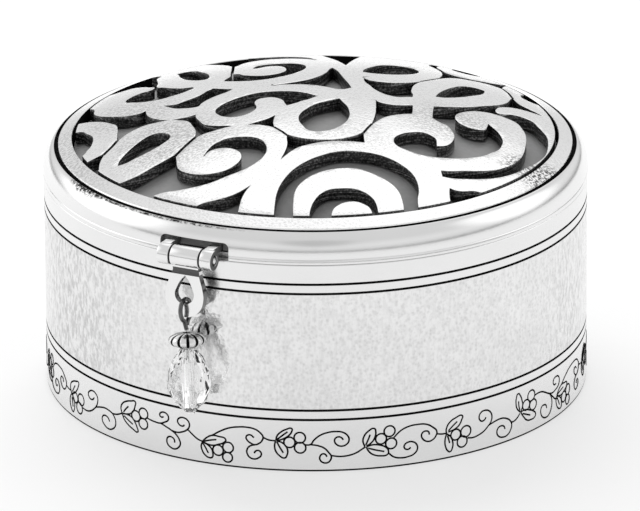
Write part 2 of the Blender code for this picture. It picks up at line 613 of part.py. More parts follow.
def cut_bore(item, axis, length, offset, cutters):
    """Cut the pin's bore through a knuckle, and shade what is left."""
    centre = axis + Vector((offset, 0, 0))
    bore = rod(item.name + "_bore", PIN_RADIUS + BORE_GAP, length + OVERRUN, cutters, BARREL_STEPS, centre)
    combine(item, bore, "DIFFERENCE")
    shade_round(item)


def add_tail(item, axis, radius, length, offset, cutters):
    """The arm that carries a lid knuckle: up from the barrel and back into the lid's notch."""
    side = math.copysign(1, axis.y)
    riser_back = axis.y - side * (radius - FIT_GAP)
    tail_end = side * TAIL_END
    top = TAIL_BOTTOM + TAIL_HEIGHT
    outline = [
        (axis.y, axis.z, CORNER),
        (axis.y, top, CORNER),
        (tail_end, top, CORNER),
        (tail_end, TAIL_BOTTOM, CORNER),
        (riser_back, TAIL_BOTTOM, CORNER),
        (riser_back, axis.z, CORNER),
    ]
    arm = flat_outline(item.name + "_arm", [outline], length - 2 * ARM_SIDE_INSET, cutters, 1)
    upright = Matrix(((0, 0, 1), (1, 0, 0), (0, 1, 0))).to_4x4()
    arm.matrix_world = Matrix.Translation((offset, 0, 0)) @ upright
    combine(item, arm, "UNION")


def make_rear_hinge(parts, cutters, materials):
    """Two knuckles on the body's wall, one on the lid, and their pin."""
    silver = materials["polished_silver"]
    offset = (REAR_MIDDLE_LENGTH + REAR_SIDE_LENGTH) / 2 + KNUCKLE_GAP
    for name, place in (("rear_knuckle_left", -offset), ("rear_knuckle_right", offset)):
        item = knuckle(name, REAR_AXIS, REAR_BARREL_RADIUS, REAR_SIDE_LENGTH, place, parts, silver)
        leaf_front = BODY_RADIUS + REAR_STANDOFF + LEAF_THICKNESS
        half = REAR_SIDE_LENGTH / 2 - ARM_SIDE_INSET
        low = (place - half, BODY_RADIUS - OVERRUN, REAR_AXIS.z - LEAF_DROP)
        high = (place + half, leaf_front, REAR_AXIS.z)
        combine(item, box(name + "_leaf", low, high, cutters), "UNION")
        wall = rod(name + "_wall", BODY_RADIUS + FIT_GAP, SEAM_HEIGHT, cutters, ROUND_STEPS,
                   (0, 0, REAR_AXIS.z - LEAF_DROP / 2), "Z")
        combine(item, wall, "DIFFERENCE")
        cut_bore(item, REAR_AXIS, REAR_SIDE_LENGTH, place, cutters)
    middle = knuckle("rear_lid_knuckle", REAR_AXIS, REAR_BARREL_RADIUS, REAR_MIDDLE_LENGTH, 0,
                     parts, silver)
    add_tail(middle, REAR_AXIS, REAR_BARREL_RADIUS, REAR_MIDDLE_LENGTH, 0, cutters)
    cut_bore(middle, REAR_AXIS, REAR_MIDDLE_LENGTH, 0, cutters)
    pin_length = REAR_MIDDLE_LENGTH + 2 * (REAR_SIDE_LENGTH + KNUCKLE_GAP)
    pin = rod("rear_hinge_pin", PIN_RADIUS, pin_length, parts, PIN_STEPS, REAR_AXIS)
    pin.data.materials.append(materials["wire"])
    shade_round(pin)


def loop_outlines():
    """The pull's outline and its teardrop hole, with the barrel's axis at the origin."""
    half = LOOP_WIDTH / 2
    neck = LOOP_NECK_WIDTH / 2
    belly = LOOP_LENGTH - half
    diagonal_share = math.sqrt(0.5)
    right = [(neck, 0, CORNER), (neck, -PULL_BARREL_RADIUS, CORNER), (half, -belly),
             (half * diagonal_share, -belly - half * diagonal_share)]
    outside = right + [(0, -LOOP_LENGTH)] + mirrored(right)
    hole_half = LOOP_HOLE_WIDTH / 2
    hole_bottom = LOOP_LENGTH - LOOP_BAR_WIDTH
    hole_belly = hole_bottom - hole_half
    side = [(hole_half, -hole_belly), (hole_half * diagonal_share, -hole_belly - hole_half * diagonal_share)]
    tip = (0, -hole_bottom + LOOP_HOLE_LENGTH, CORNER)
    hole = [tip] + side + [(0, -hole_bottom)] + mirrored(side)
    return outside, hole


def mirrored(points):
    """The same points on the other side, in the opposite order."""
    return [(-point[0], *point[1:]) for point in reversed(points)]


def hung_from(axis, tilt):
    """The frame of a piece that hangs from an axis along X, tilted out at the front."""
    return Matrix.Translation(axis) @ Matrix.Rotation(-tilt, 4, "X")


def make_pull(parts, cutters, materials):
    """Two knuckles on the lid, their pin, and the teardrop loop that swings on it."""
    silver = materials["polished_silver"]
    offset = (PULL_MIDDLE_LENGTH + PULL_SIDE_LENGTH) / 2 + KNUCKLE_GAP
    for name, place in (("pull_knuckle_left", -offset), ("pull_knuckle_right", offset)):
        item = knuckle(name, PULL_AXIS, PULL_BARREL_RADIUS, PULL_SIDE_LENGTH, place, parts, silver)
        add_tail(item, PULL_AXIS, PULL_BARREL_RADIUS, PULL_SIDE_LENGTH, place, cutters)
        cut_bore(item, PULL_AXIS, PULL_SIDE_LENGTH, place, cutters)
    pin_length = PULL_MIDDLE_LENGTH + 2 * (PULL_SIDE_LENGTH + KNUCKLE_GAP)
    pin = rod("pull_pin", PIN_RADIUS, pin_length, parts, PIN_STEPS, PULL_AXIS)
    pin.data.materials.append(materials["wire"])
    shade_round(pin)
    outside, hole = loop_outlines()
    steps = LOOP_OUTLINE_STEPS
    loop = flat_outline("pull_loop", [outside], LOOP_THICKNESS, parts, steps)
    hole_cutter = flat_outline("pull_loop_hole", [hole], LOOP_THICKNESS + OVERRUN, cutters, steps)
    combine(loop, hole_cutter, "DIFFERENCE")
    loop.data.transform(Matrix.Rotation(math.pi / 2, 4, "X"))
    barrel = rod("pull_loop_barrel", PULL_BARREL_RADIUS, PULL_MIDDLE_LENGTH, cutters, BARREL_STEPS)
    combine(loop, barrel, "UNION")
    cut_bore(loop, Vector((0, 0, 0)), PULL_MIDDLE_LENGTH, 0, cutters)
    loop.data.materials.append(silver)
    loop.matrix_world = hung_from(PULL_AXIS, LOOP_REST_ANGLE)
    return loop


def charm_frame():
    """The charm's frame: origin at the middle of the loop's lower bar, -Z down the stem."""
    bar = hung_from(PULL_AXIS, LOOP_REST_ANGLE) @ Vector((0, 0, -BAR_DROP))
    return Matrix.Translation(bar) @ Matrix.Rotation(-CHARM_LEAN, 4, "Y") @ Matrix.Rotation(
        -CHARM_REST_ANGLE, 4, "X")


def make_charm_wire(parts, cutters, materials):
    """The eye round the loop's bar, the stem through bead and crystal, and the flat head."""
    neck = -EYE_OFFSET - EYE_RADIUS - EYE_NECK
    path = [(0, -HEAD_DROP - HEAD_HEIGHT / 2), (0, neck)]
    for step in range(EYE_STEPS + 1):
        turn = EYE_START + EYE_SWEEP * step / EYE_STEPS
        path.append((EYE_RADIUS * math.cos(turn), EYE_RADIUS * math.sin(turn) - EYE_OFFSET))
    curve = bpy.data.curves.new("charm_wire", "CURVE")
    curve.dimensions = "3D"
    curve.bevel_depth = WIRE_RADIUS
    curve.bevel_resolution = 2
    curve.use_fill_caps = True
    spline = curve.splines.new("POLY")
    spline.points.add(len(path) - 1)
    for point, place in zip(spline.points, path):
        point.co = (0, place[0], place[1], 1)
    guide = bpy.data.objects.new("charm_wire", curve)
    cutters.objects.link(guide)
    bpy.context.view_layer.update()
    mesh = evaluated_copy(guide)
    bpy.data.objects.remove(guide)
    weld(mesh)
    wire = add_object("charm_wire", mesh, parts, materials["wire"])
    head = rod("charm_head", HEAD_RADIUS, HEAD_HEIGHT, cutters, PIN_STEPS,
               (0, 0, -HEAD_DROP - HEAD_HEIGHT / 2), "Z")
    combine(wire, head, "UNION")
    shade_round(wire)
    wire.matrix_world = charm_frame()
    return wire


def stem_bore(name, cutters):
    """The hole that the stem runs through."""
    length = HEAD_DROP + OVERRUN
    return rod(name, WIRE_RADIUS + BORE_GAP, length, cutters, PIN_STEPS, (0, 0, -length / 2), "Z")


def make_melon_bead(parts, cutters, materials):
    """A flattened bead with lobes parted by grooves."""
    mesh = bpy.data.meshes.new("melon_bead")
    shape = bmesh.new()
    bmesh.ops.create_uvsphere(shape, u_segments=4 * BEAD_LOBES, v_segments=8, radius=1)
    for corner in shape.verts:
        turn = math.atan2(corner.co.y, corner.co.x)
        groove = BEAD_GROOVE * (1 - abs(math.sin(BEAD_LOBES * turn / 2))) ** 2
        radius = BEAD_RADIUS - groove
        corner.co = (corner.co.x * radius, corner.co.y * radius, corner.co.z * BEAD_HEIGHT / 2 - BEAD_DROP)
    shape.to_mesh(mesh)
    shape.free()
    bead = add_object("melon_bead", mesh, parts, materials["antique_silver"])
    combine(bead, stem_bore("bead_bore", cutters), "DIFFERENCE")
    shade_round(bead)
    bead.matrix_world = charm_frame()
    return bead


def make_crystal_drop(parts, cutters, materials):
    """A faceted teardrop: the hull of rings of points, each ring turned half a facet."""
    mesh = bpy.data.meshes.new("crystal_drop")
    shape = bmesh.new()
    for row, (down_share, radius_share) in enumerate(CRYSTAL_PROFILE_SHARES):
        height = -CRYSTAL_DROP - down_share * CRYSTAL_LENGTH
        for facet in range(CRYSTAL_FACETS):
            turn = 2 * math.pi * (facet + row % 2 / 2) / CRYSTAL_FACETS
            radius = CRYSTAL_RADIUS * radius_share
            shape.verts.new((radius * math.cos(turn), radius * math.sin(turn), height))
    bmesh.ops.convex_hull(shape, input=shape.verts)
    bmesh.ops.recalc_face_normals(shape, faces=shape.faces)
    shape.to_mesh(mesh)
    shape.free()
    drop = add_object("crystal_drop", mesh, parts, materials["crystal"])
    combine(drop, stem_bore("crystal_bore", cutters), "DIFFERENCE")
    drop.matrix_world = charm_frame()
    return drop


def build():
    """Model the whole box."""
    clear_scene()
    parts = new_collection("trinket_box")
    cutters = new_collection("cutters")
    materials = make_materials()
    make_body_shell(parts, materials)
    make_inside(parts, materials)
    make_lid_rim(parts, cutters, materials)
    make_scroll_panel(parts, cutters, materials)
    make_lid_inside(parts, materials)
    make_rear_hinge(parts, cutters, materials)
    make_pull(parts, cutters, materials)
    make_charm_wire(parts, cutters, materials)
    make_melon_bead(parts, cutters, materials)
    make_crystal_drop(parts, cutters, materials)


build()
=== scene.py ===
"""A round silver trinket box with a pierced scrollwork lid, a teardrop pull and a crystal charm."""
import math

import bmesh
import bpy
from mathutils import Matrix, Vector


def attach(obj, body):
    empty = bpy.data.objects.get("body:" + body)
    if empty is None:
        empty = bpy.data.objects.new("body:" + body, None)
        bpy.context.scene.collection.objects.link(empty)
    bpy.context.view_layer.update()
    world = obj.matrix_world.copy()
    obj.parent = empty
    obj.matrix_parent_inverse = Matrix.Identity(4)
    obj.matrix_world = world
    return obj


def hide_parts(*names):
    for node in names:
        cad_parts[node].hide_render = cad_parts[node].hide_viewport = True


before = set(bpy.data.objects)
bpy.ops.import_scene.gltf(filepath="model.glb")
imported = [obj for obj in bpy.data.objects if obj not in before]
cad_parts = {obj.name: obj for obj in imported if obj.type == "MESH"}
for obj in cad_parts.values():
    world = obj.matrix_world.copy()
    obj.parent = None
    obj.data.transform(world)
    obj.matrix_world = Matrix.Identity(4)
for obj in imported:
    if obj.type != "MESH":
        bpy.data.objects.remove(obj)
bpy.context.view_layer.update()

# Sizes in metres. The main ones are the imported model's, the fine ones the scene's own
BODY_RADIUS = 0.0500
WALL_RADIUS = 0.0499
INNER_RADIUS = 0.0484
SEAM_HEIGHT = 0.0395
FLOOR_BOTTOM = 0.0013
FLOOR_TOP = 0.0025
FOOT_EDGE = 0.00005
RING_LINE_HEIGHTS = (0.0359, 0.0341, 0.0118, 0.0100)
LINE_HALF_WIDTH = 0.00023
LINE_DEPTH = 0.00036
VINE_LINE_RADIUS = 0.00029

LID_BOTTOM = 0.0398
LIP_BOTTOM = 0.03958
CREASE_HEIGHT = 0.0405
LEDGE_BOTTOM = 0.0408
LEDGE_TOP = 0.0432
LEDGE_RADIUS = 0.0426
GROOVE_RADIUS = 0.0476
GROOVE_HEIGHT = 0.0454
GROOVE_HALF_WIDTH = 0.00036
GROOVE_DEPTH = 0.0008
GROOVE_DROP = 0.00024
OPENING_RADIUS = 0.0446
PANEL_EDGE_HEIGHT = 0.0466
PANEL_RADIUS = 0.04396
PANEL_THICKNESS = 0.0022
DOME_RISE = 0.0072
# Radius of the painted dark reflection on the lid's shoulder
DARK_REFLECTION_RADIUS = 0.0482
TENTH = OPENING_RADIUS / 10
RIM_SHARE = 1.02
VIEW_TURN = math.radians(26.0)

NOTCH_TOP = 0.0428
NOTCH_FLOOR = 0.0478
PULL_AXIS = Vector((0, -0.0522, 0.0403))
REAR_AXIS = Vector((0, 0.0520, 0.0395))
PIN_RADIUS = 0.0007
BORE_RADIUS = 0.0010
PULL_BARREL_RADIUS = 0.0019
PULL_MIDDLE_LENGTH = 0.0056
PULL_SIDE_LENGTH = 0.0023
PULL_SIDE_OFFSET = 0.00425
PULL_PIN_LENGTH = 0.0108
REAR_BARREL_RADIUS = 0.0016
REAR_MIDDLE_LENGTH = 0.0080
REAR_SIDE_LENGTH = 0.0070
REAR_SIDE_OFFSET = 0.0078
REAR_PIN_LENGTH = 0.0226
TAIL_BOTTOM = 0.0411
TAIL_TOP = 0.0423
TAIL_END = 0.0481
LOOP_TILT = math.radians(6.0)
LOOP_THICKNESS = 0.0015
BAR_DROP = 0.0098
CHARM_TILT = math.radians(7.0)
CHARM_LEAN = math.radians(6.0)

# The charm, down from the middle of the loop's lower bar
WIRE_RADIUS = 0.0004
EYE_RADIUS = 0.0020
EYE_OFFSET = 0.0001
STEM_END = 0.0188
CHARM_BORE_RADIUS = 0.0007
BEAD_DROP = 0.0055
BEAD_RADIUS = 0.0034
BEAD_HALF_HEIGHT = 0.0013
BEAD_LOBES = 12
CRYSTAL_DROP = 0.0071
CRYSTAL_FACETS = 10
CRYSTAL_RINGS = (
    (0, 0.0014), (0.0016, 0.0027), (0.0042, 0.0037), (0.0070, 0.0040), (0.0096, 0.0030),
    (0.0115, 0.0010))

ROUND_STEPS = 256
SHARP = math.radians(38)
CORNER = "corner"
UPRIGHT = Matrix(((0, 0, 1), (1, 0, 0), (0, 1, 0))).to_4x4()

CAMERA_LIFT = 0.3707
CAMERA_DISTANCE = 1.5
CAMERA_PAN = 0.0005
CAMERA_TILT = 0.0143
CAMERA_ROLL = 0.0061
CAMERA_LENS = 455.05

LAMP_SIZE = 1.1
LAMP_ENERGY = 11.0
LAMP_PLACE = (-0.15, 0.72, 0.72)
LAMP_AIM = Vector((0, 0, 0.02))
FLOOR_GLOW = 0.60
FLOOR_SEEN = (0.29, 0.29, 0.29, 1)
FLOOR_UNSEEN = (0.8, 0.8, 0.8, 1)


def new_collection(name):
    """A collection in the scene."""
    collection = bpy.data.collections.new(name)
    bpy.context.scene.collection.children.link(collection)
    return collection


pieces = new_collection("pieces")
tools = new_collection("cutting_tools")


def link(name, mesh, collection=None):
    """Make an object of a mesh."""
    item = bpy.data.objects.new(name, mesh)
    (collection or pieces).objects.link(item)
    return item


def evaluated_copy(item):
    """The object's mesh with its modifiers applied."""
    graph = bpy.context.evaluated_depsgraph_get()
    return bpy.data.meshes.new_from_object(item.evaluated_get(graph), depsgraph=graph)


def shade_round(item, limit=SHARP):
    """Smooth shading that keeps the real corners sharp."""
    item.data.shade_smooth()
    item.data.set_sharp_from_angle(angle=limit)


def tidy_mesh(mesh, distance=2e-6):
    """Join doubled points and set the face normals outwards."""
    shape = bmesh.new()
    shape.from_mesh(mesh)
    bmesh.ops.remove_doubles(shape, verts=shape.verts, dist=distance)
    bmesh.ops.recalc_face_normals(shape, faces=shape.faces)
    shape.to_mesh(mesh)
    shape.free()


def lathe(name, rows, materials, steps=ROUND_STEPS, collection=None):
    """Turn a closed section of (radius, height, slot) rows, a slot for the face to the next."""
    mesh = bpy.data.meshes.new(name)
    shape = bmesh.new()
    rings = []
    for radius, height, _ in rows:
        if radius == 0:
            rings.append([shape.verts.new((0, 0, height))] * steps)
            continue
        ring = []
        for step in range(steps):
            turn = 2 * math.pi * step / steps
            ring.append(shape.verts.new((radius * math.cos(turn), radius * math.sin(turn), height)))
        rings.append(ring)
    for row, (first, second) in enumerate(zip(rings, rings[1:] + rings[:1])):
        if rows[row][0] == 0 and rows[(row + 1) % len(rows)][0] == 0:
            continue
        for step in range(steps):
            after = (step + 1) % steps
            corners = []
            for corner in (first[step], second[step], second[after], first[after]):
                if corner not in corners:
                    corners.append(corner)
            face = shape.faces.new(corners)
            face.material_index = rows[row][2]
    bmesh.ops.recalc_face_normals(shape, faces=shape.faces)
    shape.to_mesh(mesh)
    shape.free()
    item = link(name, mesh, collection)
    for material in materials:
        mesh.materials.append(material)
    shade_round(item)
    return item


def add_bends(curve, places, steps, closed):
    """A run of bends through places; a place with the word for a corner stays sharp."""
    spline = curve.splines.new("BEZIER")
    spline.bezier_points.add(len(places) - 1)
    spline.use_cyclic_u = closed
    spline.resolution_u = steps
    for point, place in zip(spline.bezier_points, places):
        kind = "VECTOR" if place[-1] == CORNER else "AUTO"
        point.co = (*place[:2], 0) if curve.dimensions == "2D" else place
        point.handle_left_type = kind
        point.handle_right_type = kind


def flat_outline(name, outlines, thickness, steps=8, collection=None):
    """A plate cut to closed outlines of bends and corners, with its mid-plane at height zero."""
    curve = bpy.data.curves.new(name, "CURVE")
    curve.dimensions = "2D"
    curve.fill_mode = "BOTH"
    curve.extrude = thickness / 2
    curve.resolution_u = steps
    for outline in outlines:
        add_bends(curve, outline, steps, True)
    guide = link(name, curve, tools)
    bpy.context.view_layer.update()
    mesh = evaluated_copy(guide)
    bpy.data.objects.remove(guide)
    tidy_mesh(mesh)
    return link(name, mesh, collection or tools)


def rod(name, radius, length, centre=(0, 0, 0), along="X", steps=48, collection=None):
    """A plain cylinder, for a tool or a part of a piece."""
    mesh = bpy.data.meshes.new(name)
    shape = bmesh.new()
    bmesh.ops.create_cone(
        shape, cap_ends=True, segments=steps, radius1=radius, radius2=radius, depth=length)
    if along == "X":
        bmesh.ops.rotate(shape, matrix=Matrix.Rotation(math.pi / 2, 3, "Y"), verts=shape.verts)
    bmesh.ops.translate(shape, vec=Vector(centre), verts=shape.verts)
    shape.to_mesh(mesh)
    shape.free()
    return link(name, mesh, collection or tools)


def combine(item, tool, operation="DIFFERENCE", transfer=False):
    """Apply one exact boolean and take the tool away; its finish can stay on what it cuts."""
    modifier = item.modifiers.new("cut", "BOOLEAN")
    modifier.operation = operation
    modifier.solver = "EXACT"
    modifier.object = tool
    if transfer:
        modifier.material_mode = "TRANSFER"
    bpy.context.view_layer.update()
    mesh = evaluated_copy(item)
    item.modifiers.clear()
    if not transfer:
        tidy_mesh(mesh)
    item.data = mesh
    bpy.data.objects.remove(tool)


def soften(item, width, segments=2, limit=math.radians(30), clamp=True):
    """Round the sharp edges a little, as polishing does."""
    bevel = item.modifiers.new("soft_edges", "BEVEL")
    bevel.width = width
    bevel.segments = segments
    bevel.limit_method = "ANGLE"
    bevel.angle_limit = limit
    bevel.use_clamp_overlap = clamp
    bpy.context.view_layer.update()
    mesh = evaluated_copy(item)
    item.modifiers.clear()
    item.data = mesh
    shade_round(item, math.radians(50))
    return item


def hold(piece, body, slot, *nodes):
    """Ride a piece on a body and hide the nodes that it stands for; the finish's name is not used."""
    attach(piece, body)
    if nodes:
        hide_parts(*nodes)
    return piece


def wrapped(turn_degrees, height, radius):
    """A point on the wall, by its turn from the viewer's front and its height."""
    turn = math.radians(turn_degrees - 90) + VIEW_TURN
    return Vector((radius * math.cos(turn), radius * math.sin(turn), height))


class Nodes:
    """The node tree of a material or world, with short calls for the nodes used here."""

    def __init__(self, owner, coordinates="Object"):
        self.owner = owner
        owner.use_nodes = True
        self.tree = owner.node_tree
        self.place = self.add("ShaderNodeTexCoord").outputs[coordinates]

    def add(self, kind, **settings):
        """A node with settings and, under "inputs", the values of its sockets."""
        node = self.tree.nodes.new(kind)
        inputs = settings.pop("inputs", {})
        for key, value in settings.items():
            setattr(node, key, value)
        for key, value in inputs.items():
            if isinstance(value, bpy.types.NodeSocket):
                self.tree.links.new(value, node.inputs[key])
            else:
                node.inputs[key].default_value = value
        return node

    def join(self, source, target):
        """Link two sockets."""
        self.tree.links.new(source, target)

    def stretched(self, scale):
        """Object coordinates stretched by a scale on each axis."""
        mapping = self.add("ShaderNodeMapping", inputs={"Vector": self.place, "Scale": scale})
        return mapping.outputs["Vector"]

    def noise(self, scale, detail=3.0, vector=None, roughness=0.55):
        """Fractal noise, 0 to 1."""
        node = self.add("ShaderNodeTexNoise", inputs={
            "Vector": vector or self.place, "Scale": scale, "Detail": detail,
            "Roughness": roughness})
        return node.outputs["Fac"]

    def cells(self, scale):
        """Rounded cells, as a planishing hammer leaves them."""
        node = self.add("ShaderNodeTexVoronoi", feature="SMOOTH_F1", inputs={
            "Vector": self.place, "Scale": scale, "Smoothness": 0.4})
        return node.outputs["Distance"]

    def ramp(self, source, stops):
        """A colour ramp of (position, grey) stops."""
        node = self.add("ShaderNodeValToRGB", inputs={"Fac": source})
        band = node.color_ramp
        while len(band.elements) < len(stops):
            band.elements.new(0.5)
        for element, (position, grey) in zip(band.elements, stops):
            element.position = position
            element.color = (grey, grey, grey, 1)
        return node.outputs["Color"]

    def math(self, operation, first, second=0.0, third=None, clamp=False):
        """One sum on two or three values."""
        node = self.add("ShaderNodeMath", operation=operation, use_clamp=clamp)
        for socket, value in zip(node.inputs, (first, second, third)):
            if value is None:
                continue
            if isinstance(value, bpy.types.NodeSocket):
                self.tree.links.new(value, socket)
            else:
                socket.default_value = value
        return node.outputs[0]

    def mix(self, share, first, second, kind="MIX"):
        """Two colours mixed, or with MULTIPLY the first one darkened by the second."""
        node = self.add("ShaderNodeMix", data_type="RGBA", blend_type=kind, inputs={
            "Factor": share, "A": first, "B": second})
        return node.outputs["Result"]

    def spots(self, places):
        """Soft round patches as (turn from the viewer's front, radius, height, reach, strength)."""
        total = None
        for turn, radius, height, reach, strength in places:
            away = self.add("ShaderNodeVectorMath", operation="DISTANCE")
            self.join(self.place, away.inputs[0])
            away.inputs[1].default_value = wrapped(turn, height, radius)
            patch = self.add("ShaderNodeMapRange", interpolation_type="SMOOTHSTEP", inputs={
                "Value": away.outputs["Value"], "From Min": reach, "From Max": reach * 0.3,
                "To Max": strength}).outputs["Result"]
            total = self.math("MAXIMUM", total, patch) if total else patch
        return total

    def bump(self, height, distance, strength=1.0, below=None):
        """A bump on the normal."""
        node = self.add("ShaderNodeBump", inputs={
            "Height": height, "Distance": distance, "Strength": strength})
        if below:
            self.join(below, node.inputs["Normal"])
        return node.outputs["Normal"]

    def finish(self, metallic=1.0, roughness=0.25, **values):
        """Set the values of the surface and give its material."""
        shader = self.tree.nodes["Principled BSDF"]
        for key, value in (values | {"Metallic": metallic, "Roughness": roughness}).items():
            socket = shader.inputs[key.replace("_", " ")]
            if isinstance(value, bpy.types.NodeSocket):
                self.join(value, socket)
            else:
                socket.default_value = value
        return self.owner


def hammered_metal(name, tones, cell_scale, grain, depth, roughness, dark_reflection_spots):
    """Silver with fine planished dents painted a little darker in them as shade, and patches of streaky
    flecks that are painted dark reflections.
    """
    nodes = Nodes(bpy.data.materials.new(name))
    dents = nodes.cells(cell_scale)
    fine = nodes.noise(cell_scale * 1.9, 3.0, None, 0.6)
    height = nodes.math("MULTIPLY_ADD", fine, grain, dents)
    # The dents are painted darker as shade.
    tone = nodes.ramp(height, [(0.1 + grain * 0.4, tones[0]), (0.5 + grain * 0.6, tones[1])])
    wear = nodes.ramp(nodes.noise(70, 3.0), [(0.35, 0.95), (0.65, 1.0)])
    colour = nodes.mix(1, tone, wear, "MULTIPLY")
    # Streaky dark flecks in the given patches: painted dark reflections.
    reflection_streaks = nodes.noise(cell_scale * 1.2, 2.0, nodes.stretched((1, 1, 0.35)), 0.5)
    marks = nodes.ramp(reflection_streaks, [(0.42, 0.05), (0.56, 1.0)])
    colour = nodes.mix(nodes.spots(dark_reflection_spots), colour, marks, "MULTIPLY")
    return nodes.finish(
        1.0, roughness, Base_Color=colour, Normal=nodes.bump(height, depth))


def shoulder_metal(name):
    """Polished silver with a painted dark reflection, scratchy with specks, just outside the groove."""
    nodes = Nodes(bpy.data.materials.new(name))
    marks = nodes.noise(420, 4.0, nodes.stretched((1, 1, 2.5)), 0.6)
    tone = nodes.ramp(nodes.noise(45, 3.0), [(0.3, 0.82), (0.7, 0.86)])
    level = nodes.add("ShaderNodeVectorMath", operation="MULTIPLY")
    nodes.join(nodes.place, level.inputs[0])
    level.inputs[1].default_value = (1, 1, 0)
    radius = nodes.add("ShaderNodeVectorMath", operation="LENGTH")
    nodes.join(level.outputs["Vector"], radius.inputs[0])
    # A painted dark reflection in a band just outside the groove, strongest on the viewer's left.
    patches = ((-60, 0.0483, 0.0445, 0.0070, 1.0),)
    wide = nodes.spots(patches)
    away = nodes.math("ABSOLUTE", nodes.math("SUBTRACT", radius.outputs["Value"], DARK_REFLECTION_RADIUS))
    reach = nodes.math("MULTIPLY_ADD", wide, 0.0006, 0.00030)
    band = nodes.math("SUBTRACT", 1.0, nodes.math("DIVIDE", away, reach), None, True)
    strong = nodes.spots(patches + ((-40, 0.0485, 0.045, 0.024, 0.65),))
    painted_reflection = nodes.math("MULTIPLY", band, strong)
    painted_reflection = nodes.math("MULTIPLY", painted_reflection, 2.4, None, True)
    grains = nodes.noise(1500, 3.0, None, 0.6)
    reflection_specks = nodes.ramp(grains, [(0.44, 0.02), (0.62, 1.0)])
    colour = nodes.mix(painted_reflection, tone, reflection_specks, "MULTIPLY")
    rough = nodes.math("MULTIPLY_ADD", marks, 0.10, 0.12)
    return nodes.finish(1.0, rough, Base_Color=colour, Normal=nodes.bump(marks, 0.000006, 0.8))


def polished_metal(name, bright=0.93, roughness=0.16):
    """Polished silver with faint wiping marks and specks."""
    nodes = Nodes(bpy.data.materials.new(name))
    marks = nodes.noise(420, 4.0, nodes.stretched((1, 1, 2.5)), 0.6)
    cloud = nodes.noise(45, 3.0)
    tone = nodes.ramp(cloud, [(0.3, bright - 0.04), (0.7, bright)])
    rough = nodes.math("MULTIPLY_ADD", marks, 0.10, roughness - 0.05)
    return nodes.finish(1.0, rough, Base_Color=tone, Normal=nodes.bump(marks, 0.000004, 0.6))


def blackened_metal(name, tone=0.005):
    """The black in the grooves, lines and engraving."""
    nodes = Nodes(bpy.data.materials.new(name))
    colour = nodes.ramp(nodes.noise(900, 3.0), [(0.3, tone * 0.6), (0.7, tone * 1.6)])
    return nodes.finish(0.0, 0.85, Base_Color=colour, Specular_IOR_Level=0.04)


def pierced_wall(name):
    """The sawn walls of the scrollwork: dark, with fine level lines."""
    nodes = Nodes(bpy.data.materials.new(name))
    level = nodes.noise(1.0, 3.0, nodes.stretched((45, 45, 4200)), 0.6)
    level = nodes.math("MULTIPLY", level, 0.55)
    lines = nodes.math("MULTIPLY_ADD", nodes.noise(2600, 3.0), 0.45, level)
    tone = nodes.ramp(lines, [(0.40, 0.010), (0.52, 0.085), (0.62, 0.42)])
    return nodes.finish(0.85, 0.38, Base_Color=tone, Normal=nodes.bump(lines, 0.00006))


def plain_sheet(name, tone, roughness=0.55, grain=900):
    """A painted or soft sheet with a fine grain."""
    nodes = Nodes(bpy.data.materials.new(name))
    grain_height = nodes.noise(grain, 3.0)
    colour = nodes.ramp(grain_height, [(0.3, tone * 0.94), (0.7, tone * 1.06)])
    return nodes.finish(
        0.0, roughness, Base_Color=colour, Normal=nodes.bump(grain_height, 0.00001, 0.5),
        Specular_IOR_Level=0.2)


def velvet(name):
    """Black flocked cloth with a short pile."""
    nodes = Nodes(bpy.data.materials.new(name))
    pile = nodes.noise(2600, 4.0, None, 0.7)
    colour = nodes.ramp(pile, [(0.3, 0.006), (0.7, 0.028)])
    return nodes.finish(
        0.0, 0.95, Base_Color=colour, Normal=nodes.bump(pile, 0.00012), Sheen_Weight=0.35,
        Specular_IOR_Level=0.1)


def wire_metal(name, tone=0.28):
    """Dark drawn wire."""
    nodes = Nodes(bpy.data.materials.new(name))
    drawn = nodes.noise(1400, 3.0, nodes.stretched((1, 1, 0.2)))
    colour = nodes.ramp(drawn, [(0.3, tone * 0.7), (0.7, tone * 1.3)])
    return nodes.finish(1.0, 0.28, Base_Color=colour, Normal=nodes.bump(drawn, 0.00001))


def crystal_glass(name):
    """Clear lead crystal with the faintest polishing haze."""
    nodes = Nodes(bpy.data.materials.new(name))
    haze = nodes.math("MULTIPLY_ADD", nodes.noise(700, 3.0), 0.02, 0.0)
    return nodes.finish(
        0.0, haze, Base_Color=(1.0, 1.0, 1.0, 1), IOR=1.56, Transmission_Weight=1.0)


# In each, the last table holds the patches of painted dark reflection flecks, placed by their turn from
# the viewer's front.
silver_wall = hammered_metal(
    "wall_silver", (0.72, 0.855), 1300, 0.8, 0.00003, 0.11,
    ((-84, 0.05, 0.020, 0.050, 0.30), (0, 0, 0.025, 0.200, 0.08), (88, 0.05, 0.018, 0.040, 0.26)))
silver_panel = hammered_metal(
    "panel_silver", (0.84, 1.0), 1700, 0.35, 0.00003, 0.18,
    ((62, 0.0425, 0.048, 0.0055, 0.9), (-62, 0.030, 0.051, 0.016, 0.35),
     (-95, 0.034, 0.050, 0.014, 0.3), (20, 0.020, 0.053, 0.012, 0.2),
     (75, 0.026, 0.052, 0.013, 0.35)))
silver_ring = hammered_metal(
    "ring_silver", (0.87, 0.97), 1700, 0.35, 0.00002, 0.18,
    ((-78, 0.046, 0.046, 0.024, 0.30), (60, 0.046, 0.046, 0.016, 0.15),
     (62, 0.0465, 0.046, 0.0075, 0.95)))
silver_shoulder = shoulder_metal("shoulder_silver")
silver_polished = polished_metal("polished_silver_finish", 0.88, 0.15)
black_line = blackened_metal("blackened_line")
scroll_wall = pierced_wall("sawn_wall")
grey_sheet = plain_sheet("backing_grey", 0.22)
black_pile = velvet("velvet_pile")
